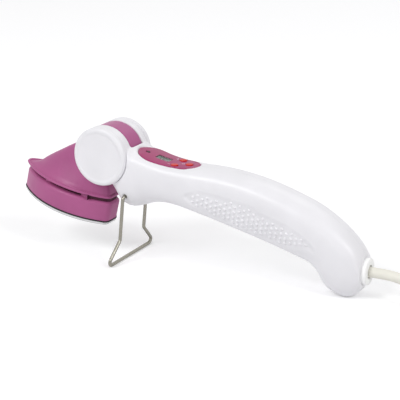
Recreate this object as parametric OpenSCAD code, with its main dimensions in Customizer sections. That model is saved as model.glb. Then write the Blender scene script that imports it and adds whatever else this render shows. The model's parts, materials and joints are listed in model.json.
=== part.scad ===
// Craft mini iron: a tilting heated head on a curved handle, with a fold-out wire stand.
// Millimetres. +X runs from the nose to the cord, +Y to the right, +Z up from the table.
// At rest the iron stands on its stand and on the heel of the handle.

/* [Handle] */
// Height of the tilt axis above the table
axis_height = 70; // [69:0.5:72]
// Tilt axis to the rear face of the tail
handle_length = 176.5; // [172:0.5:190]
// Width of the neck at its widest
neck_width = 32.4; // [31.6:0.2:33.2]
// Width of the grip
grip_width = 29; // [28:0.2:31]
// Wall of the moulded shells
wall = 2.6; // [2.2:0.1:3]
// Shank diameter of the case screws
case_screw = 2.8; // [2.4:0.1:3]

/* [Pivot] */
// Diameter of the fork cheeks and of their caps
cap_diameter = 38; // [37:0.5:39]
// Width over the two caps
cap_span = 36; // [35.2:0.2:37]
// Thickness of a cap
cap_thickness = 4.5; // [4:0.1:4.9]
// Width of the drum between the cheeks
drum_width = 13.6; // [13:0.2:14.2]
// Diameter of the hollow pivots
pivot_diameter = 10; // [9:0.5:11]
// Radial running clearance of the pivots
pivot_clearance = 0.06; // [0.03:0.01:0.1]
// Clear gap between the head and the fork
fork_gap = 0.6; // [0.5:0.1:0.8]
// Nose-up tilt of the head at rest
rest_tilt = 13.5; // [9:0.5:16]

/* [Sole] */
// Length of the soleplate
sole_length = 68.8; // [66:0.2:70]
// Width of the soleplate
sole_width = 34.6; // [33.6:0.2:36]
// Nose to the widest place of the soleplate
sole_widest = 37; // [35:0.5:39]
// Distance of the nose ahead of the tilt axis
nose_reach = 59.6; // [58:0.2:61]
// Radius of the nose
nose_radius = 4; // [3.6:0.1:5]
// Radius of the rear corners
corner_radius = 5; // [4:0.2:6]
// Tilt axis down to the working face
sole_drop = 48.9; // [48.4:0.1:50]
// Thickness of the soleplate
sole_thickness = 2.1; // [1.8:0.1:2.4]
// Thickness of the gasket
gasket_thickness = 0.7; // [0.5:0.1:1]
// Height of the purple housing above the gasket
housing_height = 13.4; // [13:0.1:13.8]
// Air gap between the housing and the hood
air_gap = 2.8; // [2.4:0.1:3]
// Diameter of the tubular heating element
element_diameter = 6; // [5:0.2:6.4]

/* [Stand] */
// Diameter of the stand wire
wire_diameter = 2.3; // [2:0.1:2.6]
// Distance between the two legs
leg_span = 30.7; // [30.5:0.1:32]
// Width of the foot
foot_width = 60; // [50:1:64]
// Height at which the legs splay
splay_height = 15.4; // [12:0.2:20]
// Radius of the bends in the wire
wire_bend = 2.4; // [2:0.2:3.2]
// Radial running clearance of the stand in the handle
stand_clearance = 0.06; // [0.03:0.01:0.1]

/* [Panel] */
// Thickness of the panel
panel_thickness = 1; // [0.8:0.1:1.2]
// Depth of the panel below the handle's top line
panel_sink = 0.4; // [0.3:0.05:0.6]
// Gap round the panel in its recess
panel_gap = 0.2; // [0.15:0.05:0.3]
// Diameter of a button
button_diameter = 5; // [4.6:0.1:5.2]
// Gap round a button
button_gap = 0.2; // [0.15:0.05:0.25]
// Travel of a button
button_travel = 0.6; // [0.4:0.1:0.8]
// Distance of the two side buttons from the middle
button_offset = 6; // [5.8:0.1:6.2]
// Height of a button above the panel
button_rise = 0.5; // [0.4:0.1:0.8]

/* [Cord] */
// Diameter of the cord
cord_diameter = 6.5; // [6:0.1:6.8]
// Height of the cord where it leaves the handle
cord_height = 17.4; // [17:0.2:18.4]
// Radius of the tightest fold of the cord's hank
coil_radius = 20; // [19.5:0.5:21]
// Straight run between the folds of the hank
hank_run = 58; // [54:1:62]
// Clear gap between turns of the hank
coil_gap = 0.5; // [0.45:0.05:0.7]
// Thickness of the strap round the hank
strap_thickness = 0.6; // [0.5:0.1:0.8]
// Diameter of a plug pin
plug_pin = 4; // [3.8:0.1:4.2]
// Length of a plug pin
plug_pin_length = 19; // [18:0.5:20]
// Distance between the plug pins
plug_pitch = 18.6; // [18:0.1:19.2]

/* [Hidden] */
$fn = 48;
eps = 0.01;

// Colours
white = [0.93, 0.93, 0.95];
purple = [0.62, 0.3, 0.5];
pink = [0.7, 0.26, 0.45];
red = [0.75, 0.12, 0.12];
steel = [0.68, 0.68, 0.64];
black = [0.08, 0.08, 0.08];
green = [0.1, 0.35, 0.2];

// Derived sizes of the fork and drum
cap_r = cap_diameter / 2;
drum_r = cap_r - 0.4;
drum_half = drum_width / 2;
cheek_in = drum_half + fork_gap;
cheek_out = cap_span / 2 - cap_thickness;
cheek_plate = 2.2;
pivot_r = pivot_diameter / 2;
pivot_bore = pivot_r - 2;
flange_r = pivot_r + 3.4;
flange_t = 1.5;
pocket_r = cap_r - 2.4;
washer_t = fork_gap - 0.1;

// Places along the handle, measured from the tilt axis
tail_x = handle_length;
cavity_start = 24;
cavity_end = tail_x - 5;
stand_x = 16;
stand_z = axis_height - 25;
cord_r = cord_diameter / 2;

// Outlines of the handle: distance from the tilt axis, then height or half width
top_line = [
    [2, axis_height + 8], [15, axis_height + 7.6], [18.4, axis_height + 6.8], [21.5, axis_height + 4.6],
    [26.5, axis_height + 3.2], [37.5, axis_height + 0.3], [48.5, axis_height - 1.3],
    [60, axis_height - 1.7], [84, axis_height - 1.8], [tail_x - 67.5, 64.6], [tail_x - 41.5, 56.9],
    [tail_x - 28.5, 51.2], [tail_x - 15.5, 42.7], [tail_x - 6.5, 34.2], [tail_x, 24.8]
];
under_line = [
    [2, axis_height - 17], [5, axis_height - 21], [8, axis_height - 26], [11, axis_height - 31.4],
    [14.5, axis_height - 33.6], [19, axis_height - 33.8], [26, axis_height - 31.7],
    [36, axis_height - 28.4],
    [46, axis_height - 28.1], [60, axis_height - 30.6], [tail_x - 67.5, 27.4], [tail_x - 40.5, 19.8],
    [tail_x - 33.5, 16.8], [tail_x - 29, 11.5], [tail_x - 25.5, 5.4], [tail_x - 20.5, 1.8],
    [tail_x - 12, 0], [tail_x - 6, 2.8], [tail_x, 9.2]
];
side_line = [
    [2, neck_width / 2 - 0.6], [16, neck_width / 2], [40, neck_width / 2 - 0.6], [66, grip_width / 2 + 0.1],
    [tail_x - 66, grip_width / 2], [tail_x - 36, grip_width / 2 + 0.1], [tail_x - 16, grip_width / 2 - 1.1],
    [tail_x - 6, grip_width / 2 - 2.7], [tail_x, grip_width / 2 - 5]
];
crown_line = [[2, 10], [45, 10], [90, 13], [tail_x - 32, 13], [tail_x - 14, 12], [tail_x, 9.2]];
top_power = [[2, 3.6], [48, 3.6], [90, 2.9], [tail_x - 36, 2.5], [tail_x, 2.2]];
under_power = 2.5;
section_steps = 14;

// Smooth curve through rows of a place and a value
function rate(p, i) =
    let (a = p[max(i - 1, 0)], b = p[min(i + 1, len(p) - 1)])
    (b[1] - a[1]) / (b[0] - a[0]);
function stretch(p, x, i = 0) = i >= len(p) - 2 || x < p[i + 1][0] ? i : stretch(p, x, i + 1);
function curve(p, x) =
    let (i = stretch(p, x), a = p[i], b = p[i + 1], d = b[0] - a[0], t = (x - a[0]) / d)
    a[1] * (2 * t ^ 3 - 3 * t ^ 2 + 1) + rate(p, i) * d * (t ^ 3 - 2 * t ^ 2 + t)
    + b[1] * (3 * t ^ 2 - 2 * t ^ 3) + rate(p, i + 1) * d * (t ^ 3 - t ^ 2);
function top_at(x) = curve(top_line, x);
function under_at(x) = max(curve(under_line, x), 0);
function side_at(x) = curve(side_line, x);
function tilt_of(p, x) = curve(p, x + 0.5) - curve(p, x - 0.5);
// Half width of the handle at a place and a height
function half_at(x, z) =
    let (
        waist = top_at(x) - curve(crown_line, x),
        share = z > waist ? (z - waist) / (top_at(x) - waist) : (waist - z) / (waist - under_at(x)),
        n = z > waist ? curve(top_power, x) : under_power
    )
    side_at(x) * pow(max(1 - pow(min(share, 1), n), 0), 1 / n);

// Half of a handle section from the top down to the underside, drawn in by an inset
function half_section(x, inset) =
    let (
        top = top_at(x) - inset * sqrt(1 + tilt_of(top_line, x) ^ 2),
        under = under_at(x) + inset * sqrt(1 + tilt_of(under_line, x) ^ 2),
        waist = top_at(x) - curve(crown_line, x),
        half = side_at(x) - inset,
        power = curve(top_power, x)
    )
    [
        for (i = [0 : section_steps])
        let (a = 180 * i / section_steps, upper = i * 2 <= section_steps, n = upper ? power : under_power)
        [
            x,
            half * pow(max(sin(a), 0), 2 / n),
            waist + (upper ? top - waist : under - waist) * pow(abs(cos(a)), 2 / n)
        ]
    ];
function flip(list) = [for (i = [len(list) - 1 : -1 : 0]) list[i]];
function ring_on(side, points) =
    side < 0 ? [for (p = points) [p[0], -p[1], p[2]]] : flip(points);
handle_places = concat(
    [for (x = [2 : 2 : 30]) x],
    [for (i = [1 : 15]) 30 + (tail_x - 66) * i / 15],
    [for (i = [1 : 14]) tail_x - 36 + 36 * i / 14]
);
cavity_places = concat(
    [cavity_start],
    [for (x = handle_places) if (x > cavity_start + 1 && x < cavity_end - 1) x],
    [cavity_end]
);
function widened(points) =
    let (a = points[0], b = points[len(points) - 1])
    concat([[a[0], -1, a[2]]], points, [[b[0], -1, b[2]]]);

// Solid through a list of rings with equal numbers of points
function middle(ring) =
    let (n = len(ring))
    [for (k = [0 : 2]) [for (p = ring) p[k]] * [for (p = ring) 1] / n];
module loft(rings) {
    n = len(rings[0]);
    m = len(rings);
    points = concat([for (r = rings) each r], [middle(rings[0]), middle(rings[m - 1])]);
    faces = concat(
        [for (i = [0 : m - 2]) for (j = [0 : n - 1])
            each [
                [i * n + j, (i + 1) * n + (j + 1) % n, i * n + (j + 1) % n],
                [i * n + j, (i + 1) * n + j, (i + 1) * n + (j + 1) % n]
            ]],
        [for (j = [0 : n - 1]) [m * n, j, (j + 1) % n]],
        [for (j = [0 : n - 1]) [m * n + 1, (m - 1) * n + (j + 1) % n, (m - 1) * n + j]]
    );
    polyhedron(points = points, faces = faces, convexity = 6);
}

// Round tube along a list of points; the reference never lies along the path
function unit(v) = v / norm(v);
function heading(p, i) = unit(p[min(i + 1, len(p) - 1)] - p[max(i - 1, 0)]);
function tube_ring(c, t, r, sides, reference) =
    let (n = unit(cross(reference, t)), b = cross(t, n))
    [for (k = [0 : sides - 1]) c + r * (cos(360 * k / sides) * n + sin(360 * k / sides) * b)];
module tube(path, r, sides, reference) {
    loft([for (i = [0 : len(path) - 1]) tube_ring(path[i], heading(path, i), r, sides, reference)]);
}

// Round bar between two points
module bar(a, b, r) {
    d = b - a;
    translate(a)
        rotate([0, acos(d[2] / norm(d)), atan2(d[1], d[0])])
            cylinder(h = norm(d), r = r);
}
// Round bar along Y, from one side place to another
module cross_bar(x, z, y0, y1, r) {
    translate([x, max(y0, y1), z])
        rotate([90, 0, 0])
            cylinder(h = abs(y1 - y0), r = r);
}
module block(x0, x1, y0, y1, z0, z1) {
    translate([x0, y0, z0])
        cube([x1 - x0, y1 - y0, z1 - z0]);
}

// Points of a path with its corners rounded
function rounded(path, r, steps) = [
    for (i = [0 : len(path) - 1])
    each (i == 0 || i == len(path) - 1) ? [path[i]] :
        let (
            u = unit(path[i - 1] - path[i]),
            v = unit(path[i + 1] - path[i]),
            half = acos(u * v) / 2,
            back = r / tan(half),
            centre = path[i] + unit(u + v) * r / sin(half),
            from = path[i] + u * back - centre,
            to = path[i] + v * back - centre,
            turn = 180 - 2 * half
        )
        [for (k = [0 : steps])
            centre + (from * sin(turn * (1 - k / steps)) + to * sin(turn * k / steps)) / sin(turn)]
];
// Even points on a smooth path through a few places
function spread(places, k) = [for (i = [0 : len(places) - 1]) [i, places[i][k]]];
function smooth_path(places, steps) =
    let (last = len(places) - 1)
    [for (i = [0 : last * steps])
        [for (k = [0 : 2]) curve(spread(places, k), i / steps)]];

// The overall box is centred on X = 0, with the sole's nose in front and the cord bush behind
sole_edge = 0.1;
sole_edge_height = 0.8;
front_x = (sole_edge - nose_reach) * cos(rest_tilt) - (sole_drop - sole_edge_height) * sin(rest_tilt);
bush_rise = 1;
axis_x = -(front_x + tail_x + bush_rise) / 2;
module place() {
    translate([axis_x, 0, 0])
        children();
}
module on_axis() {
    translate([0, 0, axis_height])
        children();
}
module in_head() {
    on_axis()
        rotate([0, rest_tilt, 0])
            children();
}

// Case screws: distance from the axis and share of the local height
case_places = [[32, 0.27], [78, 0.5], [118, 0.52], [156, 0.76]];
function height_at(x, share) = under_at(x) + share * (top_at(x) - under_at(x));
function case_z(c) = height_at(c[0], c[1]);
case_head_y = 6.2;
case_boss_r = case_screw / 2 + 2.4;
function boss_end(c) = min([for (dz = [-1, 1]) half_at(c[0], case_z(c) + dz * case_boss_r)]) - 1;

// Control board and what stands on it
board_top = axis_height - 11;
board_t = 1.6;
board_x0 = 25.6;
board_x1 = 62;
board_half = 10.4;
rib_places = [27, 57];
rib_length = 3.5;
board_screw_y = 9.4;
switch_height = 3.4;
switch_half = 3;
stem_r = 1.6;
flange_rise = 0.7;

// Panel: two circles joined by straight sides
panel_front = [32, 11.3];
panel_rear = [53.4, 9.4];
lamp_x = 26.3;
window_x0 = 32.9;
window_x1 = 42.7;
window_half = 3.2;
button_places = [[48.5, button_offset], [48.5, -button_offset], [56, 0]];
panel_ledge = 1.7;
function arc(c, r, a0, a1, steps) = [
    for (i = [0 : steps])
        let (a = a0 + (a1 - a0) * i / steps)
        [c[0] + r * cos(a), c[1] + r * sin(a)]
];
function panel_outline(grow) =
    let (b = acos((panel_front[1] - panel_rear[1]) / (panel_rear[0] - panel_front[0])))
    concat(
        arc([panel_rear[0], 0], panel_rear[1] + grow, -b, b, 14),
        arc([panel_front[0], 0], panel_front[1] + grow, b, 360 - b, 18)
    );
panel_steps = 16;
panel_x0 = panel_front[0] - panel_front[1] - 2;
panel_x1 = panel_rear[0] + panel_rear[1] + 2;
// Band that follows the handle's top line, between two depths
module top_band(low, high) {
    xs = [for (i = [0 : panel_steps]) panel_x0 + (panel_x1 - panel_x0) * i / panel_steps];
    rotate([90, 0, 0])
        linear_extrude(height = 40, center = true)
            polygon(concat(
                [for (x = xs) [x, top_at(x) + low]],
                flip([for (x = xs) [x, top_at(x) + high]])
            ));
}
module panel_slice(grow, low, high) {
    intersection() {
        translate([0, 0, axis_height - 20])
            linear_extrude(height = 40)
                polygon(panel_outline(grow));
        top_band(low, high);
    }
}
function panel_top(x) = top_at(x) - panel_sink;
function panel_back(x) = top_at(x) - panel_sink - panel_thickness;

// Cord bush and clamp in the tail
bush_flange_r = 8.4;
bush_sleeve_r = 5.6;
bush_bore = cord_r + 0.35;
bush_flange_t = 3;
bush_proud = 1.7;
clamp_x = tail_x - 18.5;
cord_inside = 24;
clamp_post_y = cord_r + 3.15;
clamp_half = grip_width / 2 - wall - 1.9;
clamp_post_low = 7.4;
clamp_under = cord_height + cord_r + 0.05;

// Half of the handle
module handle_half(side) {
    difference() {
        loft([for (x = handle_places) ring_on(side, half_section(x, 0))]);
        loft([for (x = cavity_places) ring_on(side, widened(half_section(x, wall)))]);
    }
}
module handle_shell(side) {
    difference() {
        union() {
            handle_half(side);
            on_axis()
                cross_bar(0, 0, side * cheek_in, side * cheek_out, cap_r);
            for (c = case_places)
                cross_bar(c[0], case_z(c), 0, side * boss_end(c), case_boss_r);
            for (x = rib_places)
                block(
                    x, x + rib_length,
                    side < 0 ? 1.2 - side_at(x) : 7.8, side < 0 ? -7.8 : side_at(x) - 1.2,
                    board_top - board_t - 3, board_top - board_t
                );
            translate([clamp_x, side * clamp_post_y, clamp_post_low])
                cylinder(h = clamp_under - clamp_post_low, r = 2.3);
            block(
                clamp_x - 8, clamp_x - 4,
                side < 0 ? -4.4 : 0, side < 0 ? 0 : 4.4,
                under_at(clamp_x - 8) + 1.2, cord_height - cord_r - 0.05
            );
        }
        on_axis() {
            cross_bar(0, 0, -cheek_in, cheek_in, cap_r + fork_gap);
            cross_bar(0, 0, side * cheek_out, side * 25, cap_r + 0.2);
            cross_bar(0, 0, side * (cheek_in + cheek_plate), side * 25, pocket_r);
            cross_bar(0, 0, 0, side * 25, pivot_r + 0.02);
            for (a = [0, 180])
                cross_bar(0, (pivot_r + 1.7) * cos(a), side * (cheek_in + 0.6), side * 12, 0.9);
        }
        cross_bar(stand_x, stand_z, side * 10, side * 25, journal_r + stand_clearance);
        panel_slice(panel_gap, -panel_sink - panel_thickness - 0.05, 9);
        panel_slice(-panel_ledge, -8, 9);
        button_holes(flange_rise + 0.35);
        for (c = case_places) {
            cross_bar(
                c[0], case_z(c), 0, side * (side < 0 ? 8 : 20),
                case_screw / 2 + (side < 0 ? 0.05 : 0.25)
            );
            if (side > 0)
                cross_bar(c[0], case_z(c), case_head_y, 25, case_screw / 2 + 1.5);
        }
        for (x = rib_places)
            translate([x + rib_length / 2, side * board_screw_y, board_top - board_t - 4])
                cylinder(h = 5, r = 1);
        translate([clamp_x, side * clamp_post_y, clamp_under - 9])
            cylinder(h = 10, r = 1.25);
        translate([cavity_end - 2, 0, cord_height])
            rotate([0, 90, 0])
                cylinder(h = 20, r = bush_sleeve_r + 0.1);
        translate([tail_x - bush_flange_t, 0, cord_height])
            rotate([0, 90, 0])
                cylinder(h = 20, r = bush_flange_r + 0.1);
        block(tail_x - bush_proud, tail_x + 1, -grip_width, grip_width, -1, axis_height);
        if (side < 0)
            translate([8, -cable_y, axis_height - 5])
                rotate([0, 90, 0])
                    cylinder(h = 18, r = 2.1);
    }
}
module left_shell() {
    color(white)
        handle_shell(-1);
}
module right_shell() {
    color(white)
        handle_shell(1);
}
module shell_screws() {
    color(steel)
        for (c = case_places) {
            cross_bar(c[0], case_z(c), -7, case_head_y + 0.5, case_screw / 2);
            cross_bar(c[0], case_z(c), case_head_y, case_head_y + 1.8, case_screw / 2 + 1.1);
        }
}

// Caps, pivots and washers
cap_edge = 2.2;
module cap(side) {
    on_axis()
        difference() {
            rotate([side < 0 ? 90 : -90, 0, 0])
                translate([0, 0, cheek_out])
                    rotate_extrude()
                        polygon(concat(
                            [[0, 0.9], [0, cap_thickness]],
                            flip(arc([cap_r - cap_edge, cap_thickness - cap_edge], cap_edge, 0, 90, 6)),
                            [
                                [cap_r, 0], [pocket_r - 0.15, 0], [pocket_r - 0.15, -1.8],
                                [pocket_r - 1.4, -1.8], [pocket_r - 1.4, 0.9]
                            ]
                        ));
            block(
                10, 20,
                side < 0 ? -cheek_out : cheek_out - 4, side < 0 ? 4 - cheek_out : cheek_out,
                -8, -2
            );
        }
}
module left_cap() {
    color(white)
        cap(-1);
}
module right_cap() {
    color(white)
        cap(1);
}
module pivot(side) {
    on_axis()
        difference() {
            union() {
                cross_bar(0, 0, side * 2.5, side * (cheek_in + cheek_plate + 0.5), pivot_r);
                cross_bar(
                    0, 0, side * (cheek_in + cheek_plate), side * (cheek_in + cheek_plate + flange_t),
                    flange_r
                );
            }
            cross_bar(0, 0, side, side * 20, pivot_bore);
            for (a = [0, 180])
                cross_bar(0, (pivot_r + 1.7) * cos(a), side * cheek_in, side * 20, 1.05);
        }
}
module left_pivot() {
    color(steel)
        pivot(-1);
}
module right_pivot() {
    color(steel)
        pivot(1);
}
module pivot_screws() {
    flange_out = cheek_in + cheek_plate + flange_t;
    color(steel)
        on_axis()
            for (side = [-1, 1])
                for (a = [0, 180]) {
                    cross_bar(
                        0, (pivot_r + 1.7) * cos(a), side * (cheek_in + 0.8), side * (flange_out + 0.3),
                        0.85
                    );
                    cross_bar(0, (pivot_r + 1.7) * cos(a), side * flange_out, side * (flange_out + 1), 1.6);
                }
}
module friction_washers() {
    color(black)
        on_axis()
            for (side = [-1, 1])
                difference() {
                    cross_bar(0, 0, side * (cheek_in - washer_t), side * cheek_in, pivot_r + 6);
                    cross_bar(0, 0, side * (cheek_in - 2), side * (cheek_in + 2), pivot_r + 0.15);
                }
}

// Control panel
module button_holes(extra) {
    for (b = button_places)
        translate([b[0], b[1], board_top])
            cylinder(h = 30, r = button_diameter / 2 + extra);
}
module panel() {
    color(pink)
        difference() {
            panel_slice(0, -panel_sink - panel_thickness, -panel_sink);
            button_holes(button_gap);
            translate([lamp_x, 0, board_top])
                cylinder(h = 30, r = 1.6);
            block(window_x0, window_x1, -window_half, window_half, board_top, board_top + 30);
        }
}
module display_window() {
    color([0.5, 0.55, 0.55, 0.6])
        intersection() {
            top_band(-panel_sink - panel_thickness, -panel_sink - 0.1);
            block(
                window_x0 + 0.05, window_x1 - 0.05,
                0.05 - window_half, window_half - 0.05,
                board_top, board_top + 30
            );
        }
}
module indicator_lamp() {
    color(black) {
        translate([lamp_x, 0, board_top + 5])
            cylinder(h = panel_top(lamp_x) + 0.2 - board_top - 5, r = 1.45);
        for (y = [-0.8, 0.8])
            translate([lamp_x, y, board_top])
                cylinder(h = 5.2, r = 0.3);
    }
}
module display() {
    x0 = window_x0 - 1;
    x1 = window_x1 + 1;
    color([0.35, 0.4, 0.38]) {
        translate([0, 4.6, 0])
            rotate([90, 0, 0])
                linear_extrude(height = 9.2)
                    polygon([
                        [x0, panel_back(x0) - 0.4], [x0, panel_back(x0) - 2.8],
                        [x1, panel_back(x1) - 2.8], [x1, panel_back(x1) - 0.4]
                    ]);
        for (x = [x0 + 1, x1 - 1])
            for (y = [-3.6, 3.6])
                translate([x, y, board_top])
                    cylinder(h = panel_back(x) - 2 - board_top, r = 0.35);
    }
}
module control_board() {
    color(green)
        difference() {
            block(board_x0, board_x1, -board_half, board_half, board_top - board_t, board_top);
            for (x = rib_places)
                for (side = [-1, 1])
                    translate([x + rib_length / 2, side * board_screw_y, board_top - 3])
                        cylinder(h = 5, r = 1.1);
        }
}
module board_screws() {
    color(steel)
        for (x = rib_places)
            for (side = [-1, 1])
                translate([x + rib_length / 2, side * board_screw_y, 0]) {
                    translate([0, 0, board_top - board_t - 3])
                        cylinder(h = board_t + 3.2, r = 0.95);
                    translate([0, 0, board_top])
                        cylinder(h = 1.1, r = 1.9);
                }
}
stem_dip = 1;
module switches() {
    color(black)
        for (b = button_places)
            difference() {
                translate([b[0] - switch_half, b[1] - switch_half, board_top])
                    cube([2 * switch_half, 2 * switch_half, switch_height]);
                translate([b[0], b[1], board_top + switch_height - stem_dip - button_travel - 0.8])
                    cylinder(h = 5, r = stem_r + 0.25);
            }
}
module button(b) {
    crown = panel_top(b[0]) + button_rise;
    seat = panel_back(b[0] + 3.5) - 0.35;
    color(red)
        translate([b[0], b[1], 0]) {
            translate([0, 0, seat - 1])
                cylinder(h = crown - 0.4 - seat + 1, r = button_diameter / 2);
            translate([0, 0, crown - 0.4])
                cylinder(h = 0.4, r1 = button_diameter / 2, r2 = button_diameter / 2 - 0.4);
            translate([0, 0, seat - 1])
                cylinder(h = 1, r = button_diameter / 2 + flange_rise);
            translate([0, 0, board_top + switch_height - stem_dip])
                cylinder(h = seat - 0.5 - board_top - switch_height + stem_dip, r = stem_r);
        }
}
module up_button() {
    button(button_places[0]);
}
module down_button() {
    button(button_places[1]);
}
module power_button() {
    button(button_places[2]);
}
module triac() {
    under = board_top - board_t;
    color(black) {
        block(37, 47, -2.3, 2.3, under - 11, under - 2.5);
        for (x = [39.4, 42, 44.6])
            translate([x, 0, under - 3])
                cylinder(h = 3, r = 0.5);
    }
}
module capacitor() {
    under = board_top - board_t;
    color([0.2, 0.25, 0.4]) {
        translate([54, 0, under - 11])
            cylinder(h = 10, r = 4.2);
        for (y = [-2, 2])
            translate([54, y, under - 1.2])
                cylinder(h = 1.2, r = 0.4);
    }
}

// Wiring
cable_y = 11.6;
lead_r = 1.1;
module heater_cable() {
    outside = cheek_in + cheek_plate + flange_t + lead_r + 0.1;
    color(black)
        tube(
            rounded([
                [36, -8, board_top + eps], [36, -8, board_top + 4], [25.5, -cable_y, axis_height - 5],
                [15, -cable_y, axis_height - 5], [10, -outside, axis_height - 3],
                [0, -outside, axis_height],
                [0, -3.4, axis_height]
            ], 1.3, 3),
            lead_r, 8, [0.2, -1, 0.9]
        );
}
module mains_leads() {
    color(black)
        for (side = [-1, 1])
            tube(
                smooth_path([
                    [tail_x - cord_inside - eps, side * 1.6, cord_height],
                    [tail_x - cord_inside - 4, side * 1.7, cord_height + 0.6],
                    [tail_x - 34, side * 2.4, height_at(tail_x - 34, 0.187)],
                    [118, side * 3, height_at(118, 0.24)],
                    [98, side * 3, height_at(98, 0.27)],
                    [79, side * 3.5, height_at(79, 0.255)],
                    [64, side * 4.6, height_at(64, 0.385)],
                    [60, side * 5.4, board_top - board_t - 3],
                    [60, side * 5.4, board_top - board_t - 0.4]
                ], 3),
                lead_r, 8, [0, 1, 0]
            );
}

// Cord entry
module cord_bush() {
    color(white)
        translate([tail_x, 0, cord_height])
            rotate([0, 90, 0])
                difference() {
                    union() {
                        translate([0, 0, -6.5])
                            cylinder(h = 6, r = bush_sleeve_r);
                        translate([0, 0, -bush_flange_t])
                            cylinder(h = bush_flange_t, r = bush_flange_r);
                        cylinder(h = bush_rise, r1 = bush_flange_r, r2 = bush_flange_r - 0.4);
                    }
                    translate([0, 0, -10])
                        cylinder(h = 20, r = bush_bore);
                }
}
module inner_cord() {
    color(white)
        translate([tail_x - cord_inside, 0, cord_height])
            rotate([0, 90, 0])
                cylinder(h = cord_inside + bush_rise, r = cord_r);
}
module cord_clamp() {
    color(black)
        difference() {
            block(clamp_x - 3, clamp_x + 3, -clamp_half, clamp_half, clamp_under, clamp_under + 2.6);
            for (side = [-1, 1])
                translate([clamp_x, side * clamp_post_y, clamp_under - 1])
                    cylinder(h = 5, r = 1.4);
        }
}
module clamp_screws() {
    color(steel)
        for (side = [-1, 1])
            translate([clamp_x, side * clamp_post_y, clamp_under]) {
                translate([0, 0, -7])
                    cylinder(h = 9.8, r = 1.2);
                translate([0, 0, 2.6])
                    cylinder(h = 1.6, r = 2.3);
            }
}

// Free cord: straight out of the handle, down to the table and aside, into a hank of three layers
coil_pitch = cord_diameter + coil_gap;
layer_turns = 2;
layers = 3;
half_turns = 2 * layer_turns * layers;
fold_outer = coil_radius + layer_turns * coil_pitch;
coil_low = strap_thickness + 0.2 + cord_r;
coil_top = coil_low + (layers - 1) * coil_pitch + cord_r;
hank_x = tail_x + 88;
coil_sides = 6;
rings_per_fold = 12;
rings_per_climb = 6;
cord_start = [tail_x + bush_rise, 0, cord_height];
cord_end = [hank_x - cord_diameter, -fold_outer, coil_low];
// Rows of the distance from the tail, then the shares of the way aside and of the way down
cord_rows = [
    [8, 0, 0], [16, 0, 0.03], [25, 0.035, 0.13], [33.5, 0.13, 0.3], [41, 0.29, 0.55],
    [47, 0.5, 0.765], [53, 0.71, 0.915], [60.5, 0.87, 0.99], [69, 0.965, 1], [77, 1, 1]
];
cord_places = concat(
    [cord_start],
    [
        for (row = cord_rows)
            [tail_x + row[0], -row[1] * fold_outer, cord_height - row[2] * (cord_height - coil_low)]
    ],
    [cord_end]
);

// Hank: each half turn is a fold, and a run joins it to the next; the layers climb along a run
plug_thick = 13.7;
plug_z = coil_top + strap_thickness + plug_thick / 2;
plug_climb = plug_z - (coil_top - cord_r);
function ease(t) = 3 * t ^ 2 - 2 * t ^ 3;
function fold_r(turn) = coil_radius + coil_pitch * abs(layer_turns - turn % (2 * layer_turns));
function layer_z(half) = coil_low + coil_pitch * floor(half / (2 * layer_turns));
function fold_point(half, t) =
    let (turn = (half + t) / 2, r = fold_r(turn))
    [
        hank_x + (half % 2 == 0 ? hank_run : 0) + r * sin(360 * turn),
        -r * cos(360 * turn),
        layer_z(half) + (half == half_turns - 1 ? plug_climb * ease(t) : 0)
    ];
function run_point(half, t) =
    let (a = fold_point(half - 1, 1), b = fold_point(half, 0))
    [a[0] + (b[0] - a[0]) * t, a[1], a[2] + (b[2] - a[2]) * ease(t)];
function climbs(half) = half > 0 && half % (2 * layer_turns) == 0;
lead_start = fold_point(half_turns - 1, 1) + [cord_diameter, 0, 0];
coil_path = concat(
    [cord_end],
    [
        for (half = [0 : half_turns - 1])
            each concat(
                [
                    for (i = [1 : rings_per_climb - 1])
                        if (climbs(half)) run_point(half, i / rings_per_climb)
                ],
                [for (i = [0 : rings_per_fold]) fold_point(half, i / rings_per_fold)]
            )
    ],
    [lead_start]
);
function apart(p, i, j) = norm(p[i] - p[j]);
coil_last = len(coil_path) - 1;
coil_least = min([
    for (i = [0 : coil_last])
        for (j = [i + rings_per_fold + 2 : 1 : coil_last])
            apart(coil_path, i, j)
]) - cord_diameter;
function sum(v) = v * [for (x = v) 1];
function path_length(p) = sum([for (i = [1 : len(p) - 1]) apart(p, i, i - 1)]);
lead_end = lead_start + [8, 0, 0];
echo(least_gap_in_coil = coil_least);
echo(cord_length = path_length(cord_places) + path_length(coil_path) + 8);
module cord() {
    color(white)
        tube(cord_places, cord_r, 10, [0, 0, 1]);
}
module cord_coil() {
    color(white)
        tube(coil_path, cord_r, coil_sides, [0, 0, 1]);
}
module plug_lead() {
    color(white)
        tube([lead_start, lead_end], cord_r, 10, [0, 0, 1]);
}
strap_width = 8;
module cord_tie() {
    inner = coil_radius - cord_r - 0.4;
    outer = fold_outer + cord_r + 0.4;
    high = coil_top + 0.3;
    color(black)
        translate([hank_x + hank_run / 2, 0, 0])
            difference() {
                block(
                    -strap_width / 2, strap_width / 2,
                    inner - strap_thickness, outer + strap_thickness,
                    0, high + strap_thickness
                );
                block(-strap_width, strap_width, inner, outer, strap_thickness, high);
            }
}
plug_length = 34;
plug_width = 35;
relief_length = 20;
plug_start = lead_end[0] + relief_length;
module plug_relief() {
    color(white)
        translate(lead_end)
            rotate([0, 90, 0])
                cylinder(h = relief_length, r1 = cord_r + 0.4, r2 = cord_r + 2.4);
}
module plug_body() {
    half = plug_width / 2;
    color(white)
        translate([plug_start, lead_end[1], plug_z - plug_thick / 2])
            linear_extrude(height = plug_thick)
                polygon([
                    [0, -6], [0, 6], [12, half - 4], [16, half],
                    [plug_length - 2, half], [plug_length, half - 2],
                    [plug_length, 2 - half], [plug_length - 2, -half],
                    [16, -half], [12, 4 - half]
                ]);
}
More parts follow.
